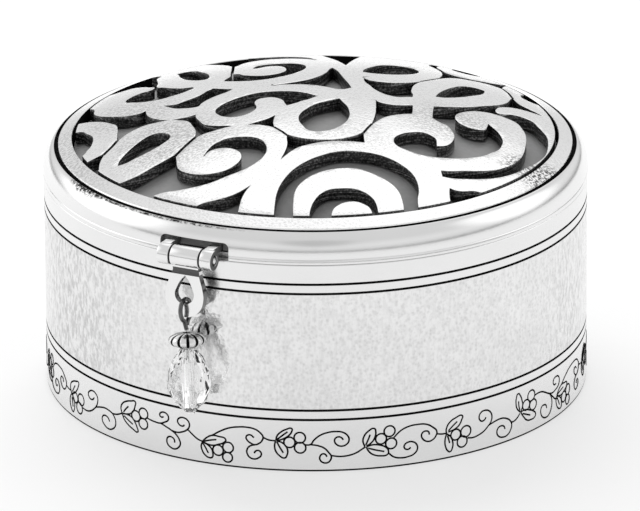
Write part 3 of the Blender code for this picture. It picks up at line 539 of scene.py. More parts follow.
inner_silver = polished_metal("inner_metal_finish", 0.60, 0.32)
dark_wire = wire_metal("dark_wire_finish", 0.13)
silver_plain = polished_metal("satin_band", 0.86, 0.22)
# Dark grey for the notch walls: painted shade in the recesses.
notch_shade_grey = plain_sheet("notch_painted_shade", 0.24)
# Dark grey painted shade for the cove under the pull's barrel and the flat ends of knuckles and barrel.
painted_shade_grey = plain_sheet("cove_shade", 0.10)
# Dark silver for the loop's sides: painted shade.
side_shade_silver = polished_metal("side_shade_silver", 0.20, 0.24)
bead_silver = polished_metal("bead_silver_finish", 0.80, 0.20)
clear_crystal = crystal_glass("clear_crystal_finish")


def corner(across, away):
    """A sharp corner of an outline."""
    return (across, away, CORNER)


def rim(turn_degrees):
    """A corner on the panel's edge."""
    turn = math.radians(turn_degrees)
    return (10 * RIM_SHARE * math.cos(turn), 10 * RIM_SHARE * math.sin(turn), CORNER)


def rim_run(first_degrees, last_degrees):
    """Corners along the panel's edge."""
    count = max(2, int(abs(last_degrees - first_degrees) / 3) + 2)
    span = (last_degrees - first_degrees) / (count - 1)
    return [rim(first_degrees + span * step) for step in range(count)]


# Outlines of the holes in the scrollwork, in tenths of the opening's radius, seen from the front
SCROLL_HOLES = {
    "centre_drop": [
        corner(1.0, -0.08), (1.13, -0.47), (1.3, -0.93), (1.39, -1.47), (1.4, -2.0), (1.2, -2.74),
        (0.93, -3.14), (0.6, -3.44), (0.2, -3.57), (-0.2, -3.5), (-0.5, -3.0), (-0.67, -2.34),
        (-0.57, -1.73), (-0.33, -1.27), (0, -0.8), (0.47, -0.43)],
    "left_crescent": [
        corner(0.1, 0.2), (-0.53, 0.7), (-1.0, 0.87), (-1.53, 0.95), (-2.07, 0.95), (-2.53, 0.83),
        (-3.0, 0.57), (-3.47, 0.2), (-3.87, -0.27), (-4.08, -0.8), (-3.93, -1.33), (-3.6, -1.63),
        (-3.23, -1.72), (-2.87, -1.6), (-2.57, -1.3), (-2.41, -0.93), (-2.47, -0.2), (-2.33, 0.07),
        (-2.07, 0.19), (-1.73, 0.19), (-1.47, 0), (-1.3, -0.27), (-1.23, -0.6), corner(-1.15, -0.87),
        (-0.67, -0.53), (-0.27, -0.2)],
    "upper_spiral": [
        corner(-2.57, 5.13), (-2.5, 5.53), (-2.27, 5.87), (-1.93, 6.0), (-1.47, 6.03), (-1.0, 5.97),
        (-0.67, 5.77), (-0.43, 5.4), (-0.37, 5.0), (-0.43, 4.53), (-0.67, 4.0), (-1.0, 3.53),
        (-1.4, 3.2), (-1.87, 2.93), (-2.53, 2.8), (-3.0, 2.87), (-3.53, 3.07), corner(-3.77, 3.2),
        (-3.7, 3.47), (-3.53, 3.87), corner(-3.47, 4.33), (-3.17, 4.27), (-3.0, 4.0), (-2.73, 3.77),
        (-2.4, 3.6), (-2.0, 3.57), (-1.6, 3.7), (-1.33, 4.0), (-1.2, 4.33), (-1.2, 4.73),
        (-1.3, 5.13), (-1.53, 5.4), (-1.87, 5.47), (-2.13, 5.37), (-2.33, 5.2)],
    "upper_left_eye": [
        (-5.27, 6.6), (-5.7, 6.47), (-5.67, 6.0), (-5.63, 5.53), (-5.53, 5.07), (-5.33, 4.53),
        (-5.07, 4.2), (-4.73, 3.97), (-4.53, 4.0), (-4.4, 4.33), (-4.4, 4.73), (-4.47, 5.13),
        (-4.6, 5.53), (-4.8, 6.0), (-4.93, 6.33)],
    "left_bean": [
        (-7.83, 2.87), (-7.73, 3.13), (-7.47, 3.47), (-7.17, 3.67), (-6.9, 3.73), (-6.7, 3.93),
        (-6.7, 4.27), corner(-6.87, 4.4), (-7.07, 4.73), (-7.33, 4.93), (-7.6, 5.07), (-7.93, 5.0),
        (-8.27, 4.9), *rim_run(152, 135), (-6.47, 6.85), (-6.6, 6.2), (-6.57, 5.53), (-6.53, 5.0),
        (-6.5, 4.0), (-6.33, 3.87), (-6.07, 3.53), (-5.8, 3.27), (-5.47, 3.03), corner(-5.07, 2.93),
        (-5.03, 2.73), (-5.2, 2.53), (-5.47, 2.27), (-5.87, 2.07), (-6.33, 1.9), (-6.8, 1.93),
        (-7.2, 2.07), (-7.53, 2.33), (-7.77, 2.53)],
    "left_gap": [
        *rim_run(160, 171.8), (-9.4, 1.17), (-9.0, 0.87), (-8.67, 0.53), (-8.4, 0.13),
        (-8.17, -0.27), (-8.1, -0.8), (-8.1, -1.47), corner(-8.1, -2.1), (-7.93, -1.87),
        (-7.67, -1.53), (-7.33, -1.27), (-6.93, -1.07), (-6.47, -1.03), corner(-6.0, -0.99),
        (-6.2, -0.9), (-6.53, -0.6), (-6.8, -0.2), (-6.93, 0.2), corner(-6.97, 0.67), (-7.2, 0.5),
        (-7.53, 0.5), (-7.87, 0.63), (-8.2, 0.87), (-8.6, 1.2), (-8.93, 1.6), (-9.13, 2.07),
        (-9.17, 2.87)],
    "left_edge": [
        rim(178), (-9.6, 0.13), (-9.4, -0.27), (-9.17, -0.73), (-9.1, -1.13), (-9.13, -1.6),
        (-9.2, -1.93), (-9.33, -2.2), (-9.45, -2.5), *rim_run(196, 180)],
    "lower_left_drop": [
        corner(-8.03, -4.41), (-7.97, -4.07), (-7.73, -3.54), (-7.4, -3.0), (-7.07, -2.57),
        (-6.73, -2.27), (-6.47, -2.22), (-6.13, -2.34), (-5.93, -2.6), (-5.93, -2.9), (-6.17, -3.27),
        (-6.47, -3.57), (-6.87, -3.87), (-7.33, -4.14), (-7.73, -4.37)],
    "left_wedge": [
        corner(-8.57, -2.94), *rim_run(200, 206), corner(-8.8, -4.34), (-8.77, -3.74)],
    "lower_spiral": [
        corner(-4.49, -4.97), (-4.4, -4.67), (-4.2, -4.27), (-3.93, -3.97), (-3.47, -3.74),
        (-3.0, -3.74), (-2.53, -3.87), (-2.2, -4.14), (-2.03, -4.54), (-1.97, -5.0), (-2.1, -5.54),
        (-2.4, -6.0), (-2.87, -6.44), (-3.53, -6.8), (-4.2, -7.14), (-4.53, -7.24), (-5.53, -7.33),
        (-6.2, -7.3), *rim_run(227.5, 216), (-7.2, -5.64), (-6.53, -5.17), (-6.03, -4.81),
        corner(-5.67, -4.5), (-5.63, -5.0), (-5.53, -5.74), (-5.13, -6.2), (-4.67, -6.44),
        (-4.2, -6.5), (-3.67, -6.4), (-3.27, -6.07), (-3.03, -5.67), (-3.0, -5.27), (-3.13, -4.94),
        (-3.47, -4.64), (-3.87, -4.54), (-4.27, -4.67)],
    "lower_wedge": [
        corner(-2.63, -7.66), (-2.93, -7.94), (-3.4, -8.24), (-4.0, -8.41), (-4.53, -8.51),
        *rim_run(240, 252), (-3.03, -8.8), (-2.93, -8.34), (-2.77, -7.94)],
    "great_arch": [
        rim(260.5), (-1.63, -9.0), (-1.53, -8.2), (-1.27, -7.4), (-0.87, -6.67), (-0.33, -6.07),
        (0.2, -5.67), (1.0, -5.29), (1.8, -5.26), (2.47, -5.4), (3.0, -5.67), (3.47, -6.07),
        (3.87, -6.6), (4.07, -7.14), (4.15, -7.8), (4.1, -8.47), *rim_run(294, 290.5),
        (3.47, -8.54), (3.33, -8.0), (3.0, -7.47), (2.53, -7.07), (2.07, -6.77), (1.67, -6.6),
        (1.0, -6.62), (0.47, -6.77), (0, -7.04), (-0.53, -7.6), (-0.8, -8.14), (-0.9, -9.0),
        *rim_run(265, 262)],
    "small_arch": [
        rim(268.5), (-0.2, -9.4), (0, -8.78), (0.2, -8.45), (0.53, -8.17), (1.0, -8.06),
        (1.53, -8.06), (1.93, -8.24), (2.27, -8.6), (2.43, -9.0), rim(284.3), rim(283),
        (2.17, -9.27), (1.93, -9.04), (1.6, -8.9), (1.2, -8.97), (0.87, -9.2), (0.67, -9.54),
        *rim_run(273.6, 270)],
    "right_wedge": [
        corner(5.4, -7.34), (5.7, -7.44), (6.47, -7.24), *rim_run(314, 302.3), (5.39, -7.8)],
    "right_scroll": [
        corner(7.1, -1.05), (7.2, -1.27), (7.4, -1.6), (7.57, -2.07), (7.65, -2.54), (7.6, -3.0),
        (7.43, -3.54), (7.13, -3.94), (6.8, -4.34), (6.33, -4.67), (5.8, -4.94), (5.27, -5.07),
        (4.73, -5.14), (4.13, -5.04), (3.67, -4.8), (3.33, -4.54), (3.19, -4.14), (3.27, -3.77),
        (3.53, -3.44), (3.93, -3.2), (4.4, -3.1), (4.73, -3.3), (4.9, -3.54), (4.93, -3.87),
        corner(4.93, -4.17), (5.27, -4.04), (5.5, -3.74), (5.63, -3.34), (5.67, -2.94),
        (5.57, -2.47), (5.4, -2.07), (5.07, -1.8), corner(4.8, -1.47), (4.83, -0.8),
        corner(4.88, -0.1), (5.4, 0.03), (5.8, 0.23), (6.2, 0.43), (6.67, 0.8), (7.0, 1.1),
        (7.47, 1.54), (7.8, 2.0), (7.97, 2.4), (8.1, 3.0), corner(8.2, 3.4), (8.3, 2.93),
        (8.47, 2.53), (8.8, 2.2), (9.13, 1.93), corner(9.4, 1.67), (8.73, 1.77), (8.33, 1.77),
        (7.87, 1.57), (7.6, 1.33), (7.47, 1.0), (7.43, 0.67), (7.53, 0.47), (7.8, 0.53),
        (8.07, 0.7), (8.4, 0.73), (8.8, 0.6), (9.0, 0.4), (9.13, 0.07), (9.33, -0.4),
        (9.5, -0.93), (9.53, -1.47), (9.5, -2.1), (9.4, -2.8), (9.2, -3.4), (8.93, -3.94),
        (8.53, -4.54), (8.2, -5.04), (7.8, -5.5), (7.33, -5.9), (6.8, -6.2), (6.13, -6.44),
        (5.47, -6.59), corner(5.13, -6.57), corner(5.07, -6.14), (5.47, -6.07), (6.0, -5.87),
        (6.6, -5.67), (7.13, -5.4), (7.67, -4.94), (8.03, -4.47), (8.3, -3.94), (8.47, -3.34),
        (8.6, -2.34), (8.63, -1.7), (8.6, -1.2), (8.47, -0.67), (8.27, -0.2), (7.9, 0.07),
        (7.33, 0.27), (7.07, 0.27), (6.73, 0.2), (6.4, 0.03), (6.07, -0.27), (5.83, -0.6),
        (5.73, -1), (5.8, -1.4), (6.0, -1.7), (6.33, -1.9), (6.67, -1.93), (6.93, -1.8),
        (7.03, -1.47)],
    "centre_window": [
        corner(2.5, -0.13), (2.67, -0.33), (3.0, -0.47), (3.33, -0.5), (3.67, -0.43),
        corner(4.0, -0.3), (4.0, -0.8), corner(3.97, -1.3), (3.53, -1.47), (3.13, -1.7),
        (2.8, -2.0), (2.5, -2.45), corner(2.28, -2.85), (2.4, -2.2), (2.47, -1.6), (2.5, -0.8)],
    "upper_shield": [
        corner(2.03, 3.07), (2.1, 2.87), (2.4, 2.6), (2.73, 2.53), (3.13, 2.5), (3.6, 2.67),
        (3.93, 2.87), (4.2, 3.07), corner(4.47, 3.4), (4.2, 2.8), (4.07, 2.4), (4.0, 1.93),
        (3.97, 1.47), (4.03, 1.07), corner(4.01, 0.73), (3.8, 0.67), (3.4, 0.53), (3.07, 0.63),
        (2.73, 0.93), (2.47, 1.33), (2.27, 1.87), (2.07, 2.4)],
    "upper_eye": [
        corner(2.0, 4.13), (2.03, 4.53), (2.2, 5.0), (2.47, 5.53), (2.73, 5.93), (3.13, 6.17),
        (3.53, 6.2), (3.93, 6.07), (4.2, 5.73), (4.33, 5.27), (4.23, 4.8), (4.0, 4.47),
        (3.6, 4.17), (3.13, 3.97), (2.67, 3.93), (2.27, 3.97)],
    "right_eye": [
        corner(4.97, 1.17), (5.03, 1.47), (5.2, 2.0), (5.47, 2.6), (5.73, 3.07), (6.07, 3.53),
        (6.4, 3.7), (6.73, 3.7), corner(7.03, 3.53), (7.0, 3.07), (6.8, 2.6), (6.47, 2.2),
        (6.13, 1.8), (5.73, 1.47), (5.33, 1.23)],
    "centre_triangle": [
        corner(0.73, 4.8), (0.93, 4.2), (1.07, 3.47), (1.23, 2.67), (1.4, 1.93), corner(1.5, 1.4),
        (1.33, 1.23), (1.07, 1.12), (0.8, 1.2), (0.47, 1.43), (0, 1.67), (-0.53, 1.8), (-1.0, 1.87),
        corner(-1.7, 1.85), (-1.07, 2.07), (-0.67, 2.27), (-0.2, 2.6), (0.07, 2.93), (0.33, 3.4),
        (0.5, 3.87), (0.63, 4.53)],
    "top_wedge": [
        corner(1.3, 5.45), (1.1, 6.2), (0.8, 7.2), (0.45, 8.4), *rim_run(88.5, 79), (1.85, 8.6),
        (1.65, 7.4), (1.45, 6.3)],
    "top_left_sweep": [
        corner(-3.4, 6.1), (-3.65, 6.8), (-4.1, 7.6), (-4.5, 8.3), *rim_run(118, 109), (-2.0, 9.1),
        (-1.0, 8.6), (-0.3, 7.9), corner(0.05, 6.95), (-0.5, 7.4), (-1.3, 7.75), (-2.0, 7.75),
        (-2.6, 7.4), (-3.0, 6.9), (-3.3, 6.2)],
    "top_right_sweep": [
        (5.03, 7.0), (4.8, 7.8), *rim_run(60.8, 58.3), (5.12, 7.5), (5.3, 6.6), (5.6, 5.8),
        (6.2, 5.48), (7.0, 5.47), (7.6, 5.63), rim(37), (7.84, 5.2), corner(7.8, 4.7),
        (7.3, 5.03), (6.47, 5.13), (5.8, 4.97), corner(5.1, 4.2), (5.28, 5.0), (5.3, 5.9),
        (5.15, 6.6)],
    "top_right_edge": [
        rim(55), (5.8, 7.4), (6.2, 6.9), (6.6, 6.75), rim(44.8), rim(50)],
    "right_slit": [
        rim(29), (8.55, 4.2), (8.85, 3.55), rim(18.3), rim(23.6)],
    "left_leaf": [
        corner(-6.22, 0.87), (-5.93, 0.77), (-5.73, 0.73), (-5.47, 0.9), (-5.13, 1.13), (-4.8, 1.4),
        (-4.6, 1.67), (-4.47, 1.93), corner(-4.2, 2.17), (-3.87, 2.0), corner(-3.4, 1.75),
        (-3.67, 1.4), (-4.07, 1.07), (-4.4, 0.73), (-4.67, 0.33), (-4.83, 0), (-5.07, -0.03),
        (-5.4, 0.07), (-5.73, 0.23), (-6.0, 0.53)],
    "left_hook": [
        corner(-5.83, -1.07), (-5.53, -1.07), (-5.2, -1.03), corner(-4.9, -0.93), (-4.87, -1.27),
        (-4.73, -1.67), (-4.57, -2.07), (-4.4, -2.24), (-4.0, -2.44), (-3.53, -2.57),
        corner(-3.4, -2.64), (-3.87, -2.77), (-4.27, -2.94), (-4.57, -3.07), corner(-4.9, -3.34),
        (-4.87, -2.67), (-4.93, -2.34), (-5.03, -2.0), (-5.13, -1.67), (-5.33, -1.4),
        (-5.6, -1.23)],
    "small_star": [
        corner(-1.63, -1.87), (-2.0, -2.24), (-2.4, -2.47), corner(-2.73, -2.64), (-2.4, -2.7),
        (-2.07, -2.84), (-1.8, -3.0), corner(-1.63, -3.17), (-1.7, -2.8), (-1.7, -2.4)],
    "arch_star": [
        corner(-1.13, -3.8), (-0.87, -4.0), (-0.53, -4.17), (-0.2, -4.27), (0.47, -4.33),
        (1.0, -4.24), (1.4, -4.04), (1.73, -3.8), corner(1.97, -3.5), (1.97, -3.9),
        corner(2.0, -4.47), (1.73, -4.44), (1.27, -4.42), (0.8, -4.42), (0.2, -4.54),
        (-0.2, -4.7), (-0.67, -4.94), (-0.93, -5.2), (-1.23, -5.6), corner(-1.4, -5.87),
        (-1.2, -5.14), (-1.13, -4.6), (-1.15, -4.14)],
}

# Saw lines between touching scrolls, as runs of points with their half width, all in tenths
SAW_LINES = {
    "hook_to_spiral": (0.07, [(-4.85, -3.2), (-5.3, -3.94), (-5.7, -4.65)]),
    "gap_to_wedge": (0.07, [(-8.08, -2.0), (-8.3, -2.5), (-8.65, -3.1)]),
    "star_to_star": (0.05, [(-1.67, -3.05), (-1.33, -3.54), (-1.1, -3.95)]),
    "window_to_star": (0.05, [(2.32, -2.7), (2.15, -3.1), (1.95, -3.65)]),
    "shield_to_sweep": (0.05, [(4.4, 3.3), (4.87, 3.93), (5.17, 4.35)]),
    "spiral_to_sweep": (0.06, [(-3.45, 4.2), (-3.42, 5.2), (-3.4, 6.25)]),
    "sweep_to_scroll": (0.05, [(7.8, 4.8), (8.05, 4.1), (8.2, 3.3)]),
}

# The engraved vine: lines by unit, as (turn in degrees, height in mm)
VINE_LINES = {
    "a": [
        [(0, 4.55), (-0.1, 4.7), (-0.5, 5.61), (-0.3, 6.41), (0.8, 7.14), (2.2, 7.55), (3.4, 7.61),
         (3.2, 6.75), (2.6, 5.95), (1.7, 5.16), (0.1, 4.55)],
        [(0.4, 5.05), (1, 5.73), (1.7, 6.52)],
        [(0, 4.48), (-0.7, 3.68), (-0.8, 2.55), (-0.3, 1.64), (0.6, 1.14), (1.2, 1.75), (1.4, 2.77),
         (1.2, 3.68), (0.1, 4.48)],
        [(0.1, 3.91), (0.4, 3), (0.6, 2.09)],
        [(5, 3.18), (6.6, 3.11), (8.2, 3.5), (9.4, 4.18), (10.3, 4.93), (10.8, 5.73), (10.9, 6.64),
         (10.3, 7.36), (9.1, 7.66), (8, 7.32), (7.4, 6.64), (7.8, 6), (8.6, 5.84), (9.4, 6.18),
         (9.6, 6.45)],
        [(10.3, 4.82), (11.9, 5.23), (13.4, 5.45), (14.7, 5.32), (15.8, 5), (16.4, 4.48), (16.8, 3.68),
         (16.6, 2.66), (15.6, 1.91), (14.5, 1.68), (13.2, 2.09), (12.4, 2.89), (12.6, 3.68), (13.4, 4.02),
         (14.3, 3.84), (14.9, 3.18)],
        [(15.8, 5), (17.1, 5.16), (18.8, 5.77)],
    ],
    "b": [
        [(0, 5.77), (-0.2, 6.07), (-0.4, 6.86), (0.1, 7.77), (1.3, 8.45), (2.6, 8.8), (3.8, 8.91),
         (3.7, 8), (3.3, 7.09), (2.6, 6.41), (1.3, 5.95), (0.1, 5.84)],
        [(0.4, 6.18), (1, 6.86), (1.8, 7.55)],
        [(0, 5.68), (0.5, 4.82), (1.6, 4.02), (3, 3.45), (4.4, 3.18), (4.2, 4.02), (3.7, 4.82),
         (2.9, 5.61), (1.6, 5.91), (0.1, 5.8)],
        [(0.5, 5.45), (1.8, 4.86), (3, 4.36)],
        [(7.1, 6.41), (8.8, 6.14), (10.5, 6.14), (11.5, 6.52), (12.3, 6.98), (12.5, 7.55), (12.2, 8.11),
         (11.4, 8.41), (10.7, 8.27), (10.3, 7.89), (10.4, 7.5), (11, 7.39), (11.2, 7.55)],
        [(10.5, 6.14), (11.7, 5.77), (13.2, 5.23), (14.4, 4.55), (15.1, 3.68), (15.3, 3), (14.9, 2.27),
         (14, 1.77), (13.1, 1.86), (12.2, 2.43), (12, 3.11), (12.2, 3.68), (12.8, 3.98), (13.5, 3.84),
         (13.9, 3.45), (13.9, 3)],
        [(13.2, 5.23), (14.5, 5.09), (15.8, 5.39), (16.9, 5.95), (17.4, 6.52), (17.5, 7.2), (17, 7.89),
         (16.1, 8.18), (15.2, 8), (14.7, 7.43), (14.9, 6.86), (15.5, 6.52), (16.1, 6.59), (16.3, 6.82)],
        [(17.1, 6.07), (18.2, 5.27), (19.4, 4.55), (20.5, 4.25)],
    ],
    "c": [
        [(0, 4.27), (1, 5.16), (2.1, 5.68), (3.6, 5.68), (5.2, 5.23), (4.8, 4.64), (3.6, 4.14), (2.3, 3.8),
         (1.3, 3.86), (0.1, 4.18)],
        [(0.4, 4.36), (1.6, 4.7), (3.1, 5)],
        [(0, 4.18), (-0.3, 3.45), (-0.1, 2.55), (0.5, 1.75), (1.6, 1.3), (2.2, 1.52), (2.3, 2.32),
         (2, 3.11), (1.3, 3.68), (0.1, 4.14)],
        [(0.1, 3.91), (0.7, 3.11), (1.3, 2.16)],
        [(2.1, 5.68), (4.2, 6.86), (6, 7.59), (7.8, 7.95), (9.6, 8.07), (11.5, 7.82), (12.6, 7.2),
         (13.2, 6.41), (12.9, 5.61), (12.2, 5.05), (11.5, 4.82), (10.6, 5.05), (9.8, 5.61), (9.6, 6.18),
         (10, 6.59), (10.7, 6.59), (11.1, 6.3), (11.3, 6.18)],
        [(11.5, 4.82), (10.4, 4.48), (9.8, 3.8), (9.8, 3), (10.4, 2.27), (11.3, 2.05), (12.2, 2.32),
         (12.8, 3), (12.5, 3.64), (12, 3.75), (11.5, 3.5), (11.3, 3.18)],
        [(13.2, 6.36), (14.3, 5.95), (15.8, 5.82)],
    ],
    "d": [
        [(0, 5.86), (0.2, 6.75), (1, 7.55), (2.1, 8.11), (3.3, 8.3), (3.3, 7.77), (2.7, 6.98), (1.6, 6.3),
         (0.2, 5.84)],
        [(0.2, 6.07), (1.2, 6.82), (2.4, 7.66)],
        [(-0.1, 5.77), (-0.3, 4.93), (-0.1, 3.91), (0.7, 3), (1.8, 2.59), (2.3, 3.23), (2.4, 4.14),
         (2, 4.93), (1.1, 5.61), (0.1, 5.8)],
        [(0.2, 5.61), (0.8, 4.59), (1.5, 3.57)],
        [(5.9, 5.23), (7.1, 5.27), (7.9, 6.18), (9.2, 7.09), (10.8, 7.59), (12.3, 7.73), (13.9, 7.5),
         (14.9, 6.75), (15.1, 5.95), (14.7, 5.27), (13.6, 4.86), (12.6, 5.16), (12.1, 5.84), (12.3, 6.45),
         (13, 6.68), (13.6, 6.45), (13.9, 6.07)],
        [(7.1, 5.27), (8.7, 5.05), (10, 4.55), (10.9, 3.68), (11.4, 3), (11.2, 2.2), (10.6, 1.75),
         (9.7, 1.8), (9.1, 2.32), (9.1, 3), (9.6, 3.45), (10.2, 3.34), (10.5, 2.89)],
        [(11.4, 3.11), (13.1, 2.89), (14.9, 3), (16.5, 3.41), (17.7, 4.02), (18.5, 4.48)],
    ],
    "e": [
        [(-0.1, 4.52), (-0.5, 5.61), (-0.2, 6.64), (0.6, 7.43), (1.9, 7.89), (2.2, 7.2), (2, 6.18),
         (1.5, 5.39), (0.2, 4.55)],
        [(0.1, 4.82), (0.6, 5.84), (1, 6.75)],
        [(0.2, 4.41), (0.7, 3.57), (1.6, 2.89), (3.2, 2.5), (4.7, 2.66), (4.9, 3.23), (4.4, 4.02),
         (3.2, 4.55), (1.6, 4.77), (0.2, 4.48)],
        [(0.6, 4.18), (2.1, 3.73), (4, 3.27)],
        [(6, 5.73), (7.6, 6.98), (9.4, 7.59), (11.3, 7.7), (13.1, 7.5), (14.6, 6.75), (15.6, 5.73),
         (15.4, 4.93), (14.6, 4.25), (13.6, 4.09), (12.6, 4.55), (12.1, 5.39), (12.4, 6), (13.1, 6.18),
         (13.7, 5.95), (13.9, 5.39)],
        [(4.9, 2.89), (6, 2.05), (7.6, 1.68), (9.2, 1.75), (10.5, 2.14), (11.2, 3), (11, 3.91),
         (10.2, 4.48), (9.2, 4.55), (8.4, 4.14), (8.3, 3.57), (8.8, 3.18), (9.4, 3.23), (9.7, 3.5)],
        [(15.6, 5.27), (16.7, 5.05), (18, 5)],
    ],
    "f": [
        [(0, 5.05), (-0.1, 5.23), (0, 6.07), (0.7, 6.98), (2, 7.59), (3.8, 7.73), (3.6, 6.98), (3, 6.07),
         (2, 5.5), (0.4, 5.16)],
        [(0.4, 5.39), (1.3, 6.07), (2.5, 6.86)],
        [(-0.1, 4.82), (-0.4, 3.68), (-0.3, 2.55), (0.3, 1.52), (0.8, 1.3), (1.4, 2.09), (1.4, 3.23),
         (1, 4.14), (0.1, 4.82)],
        [(0.2, 4.48), (0.5, 3.68), (0.7, 3)],
        [(5.1, 3.18), (6.5, 3), (8, 3.23), (9.3, 3.68), (10.5, 4.48), (11.2, 5.16), (11.4, 6.18),
         (10.9, 7.09), (9.7, 7.61), (8.5, 7.43), (8, 6.64), (8.4, 5.84), (9, 5.68), (9.6, 5.95),
         (9.8, 6.25)],
        [(10.7, 4.55), (12.4, 4.93), (14.1, 5.05), (15.5, 4.7), (16.6, 4.02), (17.1, 3.11), (16.7, 2.09),
         (15.8, 1.41), (14.5, 1.3), (13.3, 1.75), (12.8, 2.55), (13.1, 3.34), (14, 3.61), (14.8, 3.34),
         (15.1, 2.77)],
        [(17, 3.64), (17.5, 3.57), (18.7, 3.95), (19.6, 4.64)],
    ],
    "g": [
        [(0, 4.89), (-1, 5.84), (-1.3, 6.86), (-1.2, 7.89), (-0.7, 8.61), (0.1, 8), (0.6, 6.98),
         (0.8, 5.95), (0.2, 4.93)],
        [(-0.1, 5.27), (-0.4, 6.18), (-0.5, 7.09)],
        [(0.2, 4.77), (1.1, 3.68), (2.2, 2.77), (3.5, 2.5), (5, 2.73), (5.2, 3.23), (4.5, 3.91),
         (3.2, 4.48), (1.6, 4.93), (0.2, 4.86)],
        [(0.9, 4.36), (2.2, 3.86), (3.3, 3.45)],
        [(4.9, 6.86), (5.8, 6.98), (7.4, 6.86), (8.9, 6.3), (10.2, 5.73), (11.8, 5.39), (13.1, 5.61),
         (14.4, 6.07), (14.9, 7.09), (14.4, 7.89), (13.4, 8.11), (12.3, 7.82), (12.1, 7.2), (12.7, 6.68),
         (13.3, 6.75)],
        [(10.5, 5.61), (11.2, 4.82), (11.6, 3.68), (11.3, 2.55), (10.5, 1.64), (9.2, 1.36), (7.9, 1.75),
         (7.2, 2.55), (7.1, 3.34), (7.5, 3.91), (8.4, 4.02), (9.2, 3.68), (9.4, 3.11)],
        [(10.8, 5.39), (11.8, 4.7), (12.9, 3.91), (13.8, 3.68)],
    ],
}

VINE_BERRIES = {
    "a": [(1.75, 4.25, 1), (4.35, 4.55, 1.09), (3.6, 2.73, 1.09)],
    "b": [(3.91, 6.18, 1.02), (6, 7.09, 1.02), (5.92, 5.09, 1.02)],
    "c": [(3.47, 3, 1), (5.68, 3.77, 1), (5.55, 1.86, 0.93)],
    "d": [(2.79, 5.64, 1), (4.93, 6.57, 1.02), (5, 4.64, 1.02)],
    "e": [(3.31, 5.77, 1), (5.13, 7.09, 1.02), (5.47, 4.7, 1.02)],
    "f": [(2.16, 4.36, 1.02), (4.64, 4.55, 1.07), (3.73, 2.73, 1.05)],
    "g": [(1.96, 5.77, 1), (3.68, 7.14, 1.05), (4.3, 5.23, 1.02)],
}

# The turn that each unit of the vine takes up, and the units in order round the wall
VINE_TURNS = {"a": 18.9, "b": 20.5, "c": 15.9, "d": 18.5, "e": 17.9, "f": 19.7, "g": 13.7}
VINE_SEEN = "abcdefg"
VINE_UNSEEN = "cdeabcdefgcde"
VINE_START = -63.8


def vine_places():
    """Each unit with its turn from the viewer's front; the unseen ones share what is left over."""
    taken = sum(VINE_TURNS[unit] for unit in VINE_SEEN + VINE_UNSEEN)
    slack = (360 - taken) / len(VINE_UNSEEN)
    turn = VINE_START
    for index, unit in enumerate(VINE_SEEN + VINE_UNSEEN):
        yield unit, turn
        turn += VINE_TURNS[unit] + (slack if index >= len(VINE_SEEN) else 0)


def model_point(place):
    """A place of the scrollwork turned into the model's frame, in metres."""
    spot = Matrix.Rotation(VIEW_TURN, 2) @ Vector((place[0] * TENTH, place[1] * TENTH))
    return (spot.x, spot.y, *place[2:])


def saw_outline(half_width, line):
    """The thin closed outline of a saw line."""
    left = []
    right = []
    for index, place in enumerate(line):
        before = Vector(line[max(index - 1, 0)])
        after = Vector(line[min(index + 1, len(line) - 1)])
        along = (after - before).normalized()
        side = Vector((-along.y, along.x)) * half_width
        left.append((place[0] + side.x, place[1] + side.y, CORNER))
        right.append((place[0] - side.x, place[1] - side.y, CORNER))
    return left + right[::-1]


def dome_height(radius, edge_height):
    """Height of the dome's surface at a radius."""
    ball = (OPENING_RADIUS ** 2 + DOME_RISE ** 2) / (2 * DOME_RISE)
    return edge_height + DOME_RISE - ball + math.sqrt(ball ** 2 - radius ** 2)


def make_scroll_panel():
    """The pierced dome."""
    rings = 22
    radii = [PANEL_RADIUS * step / rings for step in range(rings + 1)]
    rows = [(radius, dome_height(radius, PANEL_EDGE_HEIGHT), 0) for radius in radii]
    rows[-1] = (*rows[-1][:2], 1)
    rows += [(radius, dome_height(radius, PANEL_EDGE_HEIGHT) - PANEL_THICKNESS, 0)
             for radius in reversed(radii)]
    panel = lathe("scrollwork_panel", rows, [silver_panel, scroll_wall])
    outlines = [[model_point(place) for place in outline] for outline in SCROLL_HOLES.values()]
    holes = flat_outline("scroll_holes", outlines, 0.020, 8)
    holes.location.z = 0.048
    holes.data.materials.append(scroll_wall)
    combine(panel, holes, transfer=True)
    for name, (half_width, line) in SAW_LINES.items():
        outline = [model_point(place) for place in saw_outline(half_width, line)]
        slit = flat_outline(name, [outline], 0.020, 1)
        slit.location.z = 0.048
        slit.data.materials.append(scroll_wall)
        combine(panel, slit, transfer=True)
    close = bmesh.new()
    close.from_mesh(panel.data)
    bmesh.ops.remove_doubles(close, verts=close.verts, dist=0.00006)
    bmesh.ops.dissolve_degenerate(close, edges=close.edges, dist=0.00003)
    close.to_mesh(panel.data)
    close.free()
    soften(panel, 0.00008, 2, math.radians(50), False)
    return hold(panel, "lid", "hammered_silver", "scroll_panel")


def groove_rows(radius, height, half_width, depth):
    """Rows of a rounded groove cut into a wall, from top to bottom, black inside."""
    return [
        (radius, height + half_width, 1),
        (radius - depth, height + half_width * 0.45, 1),
        (radius - depth, height - half_width * 0.45, 1),
        (radius, height - half_width, 0),
    ]


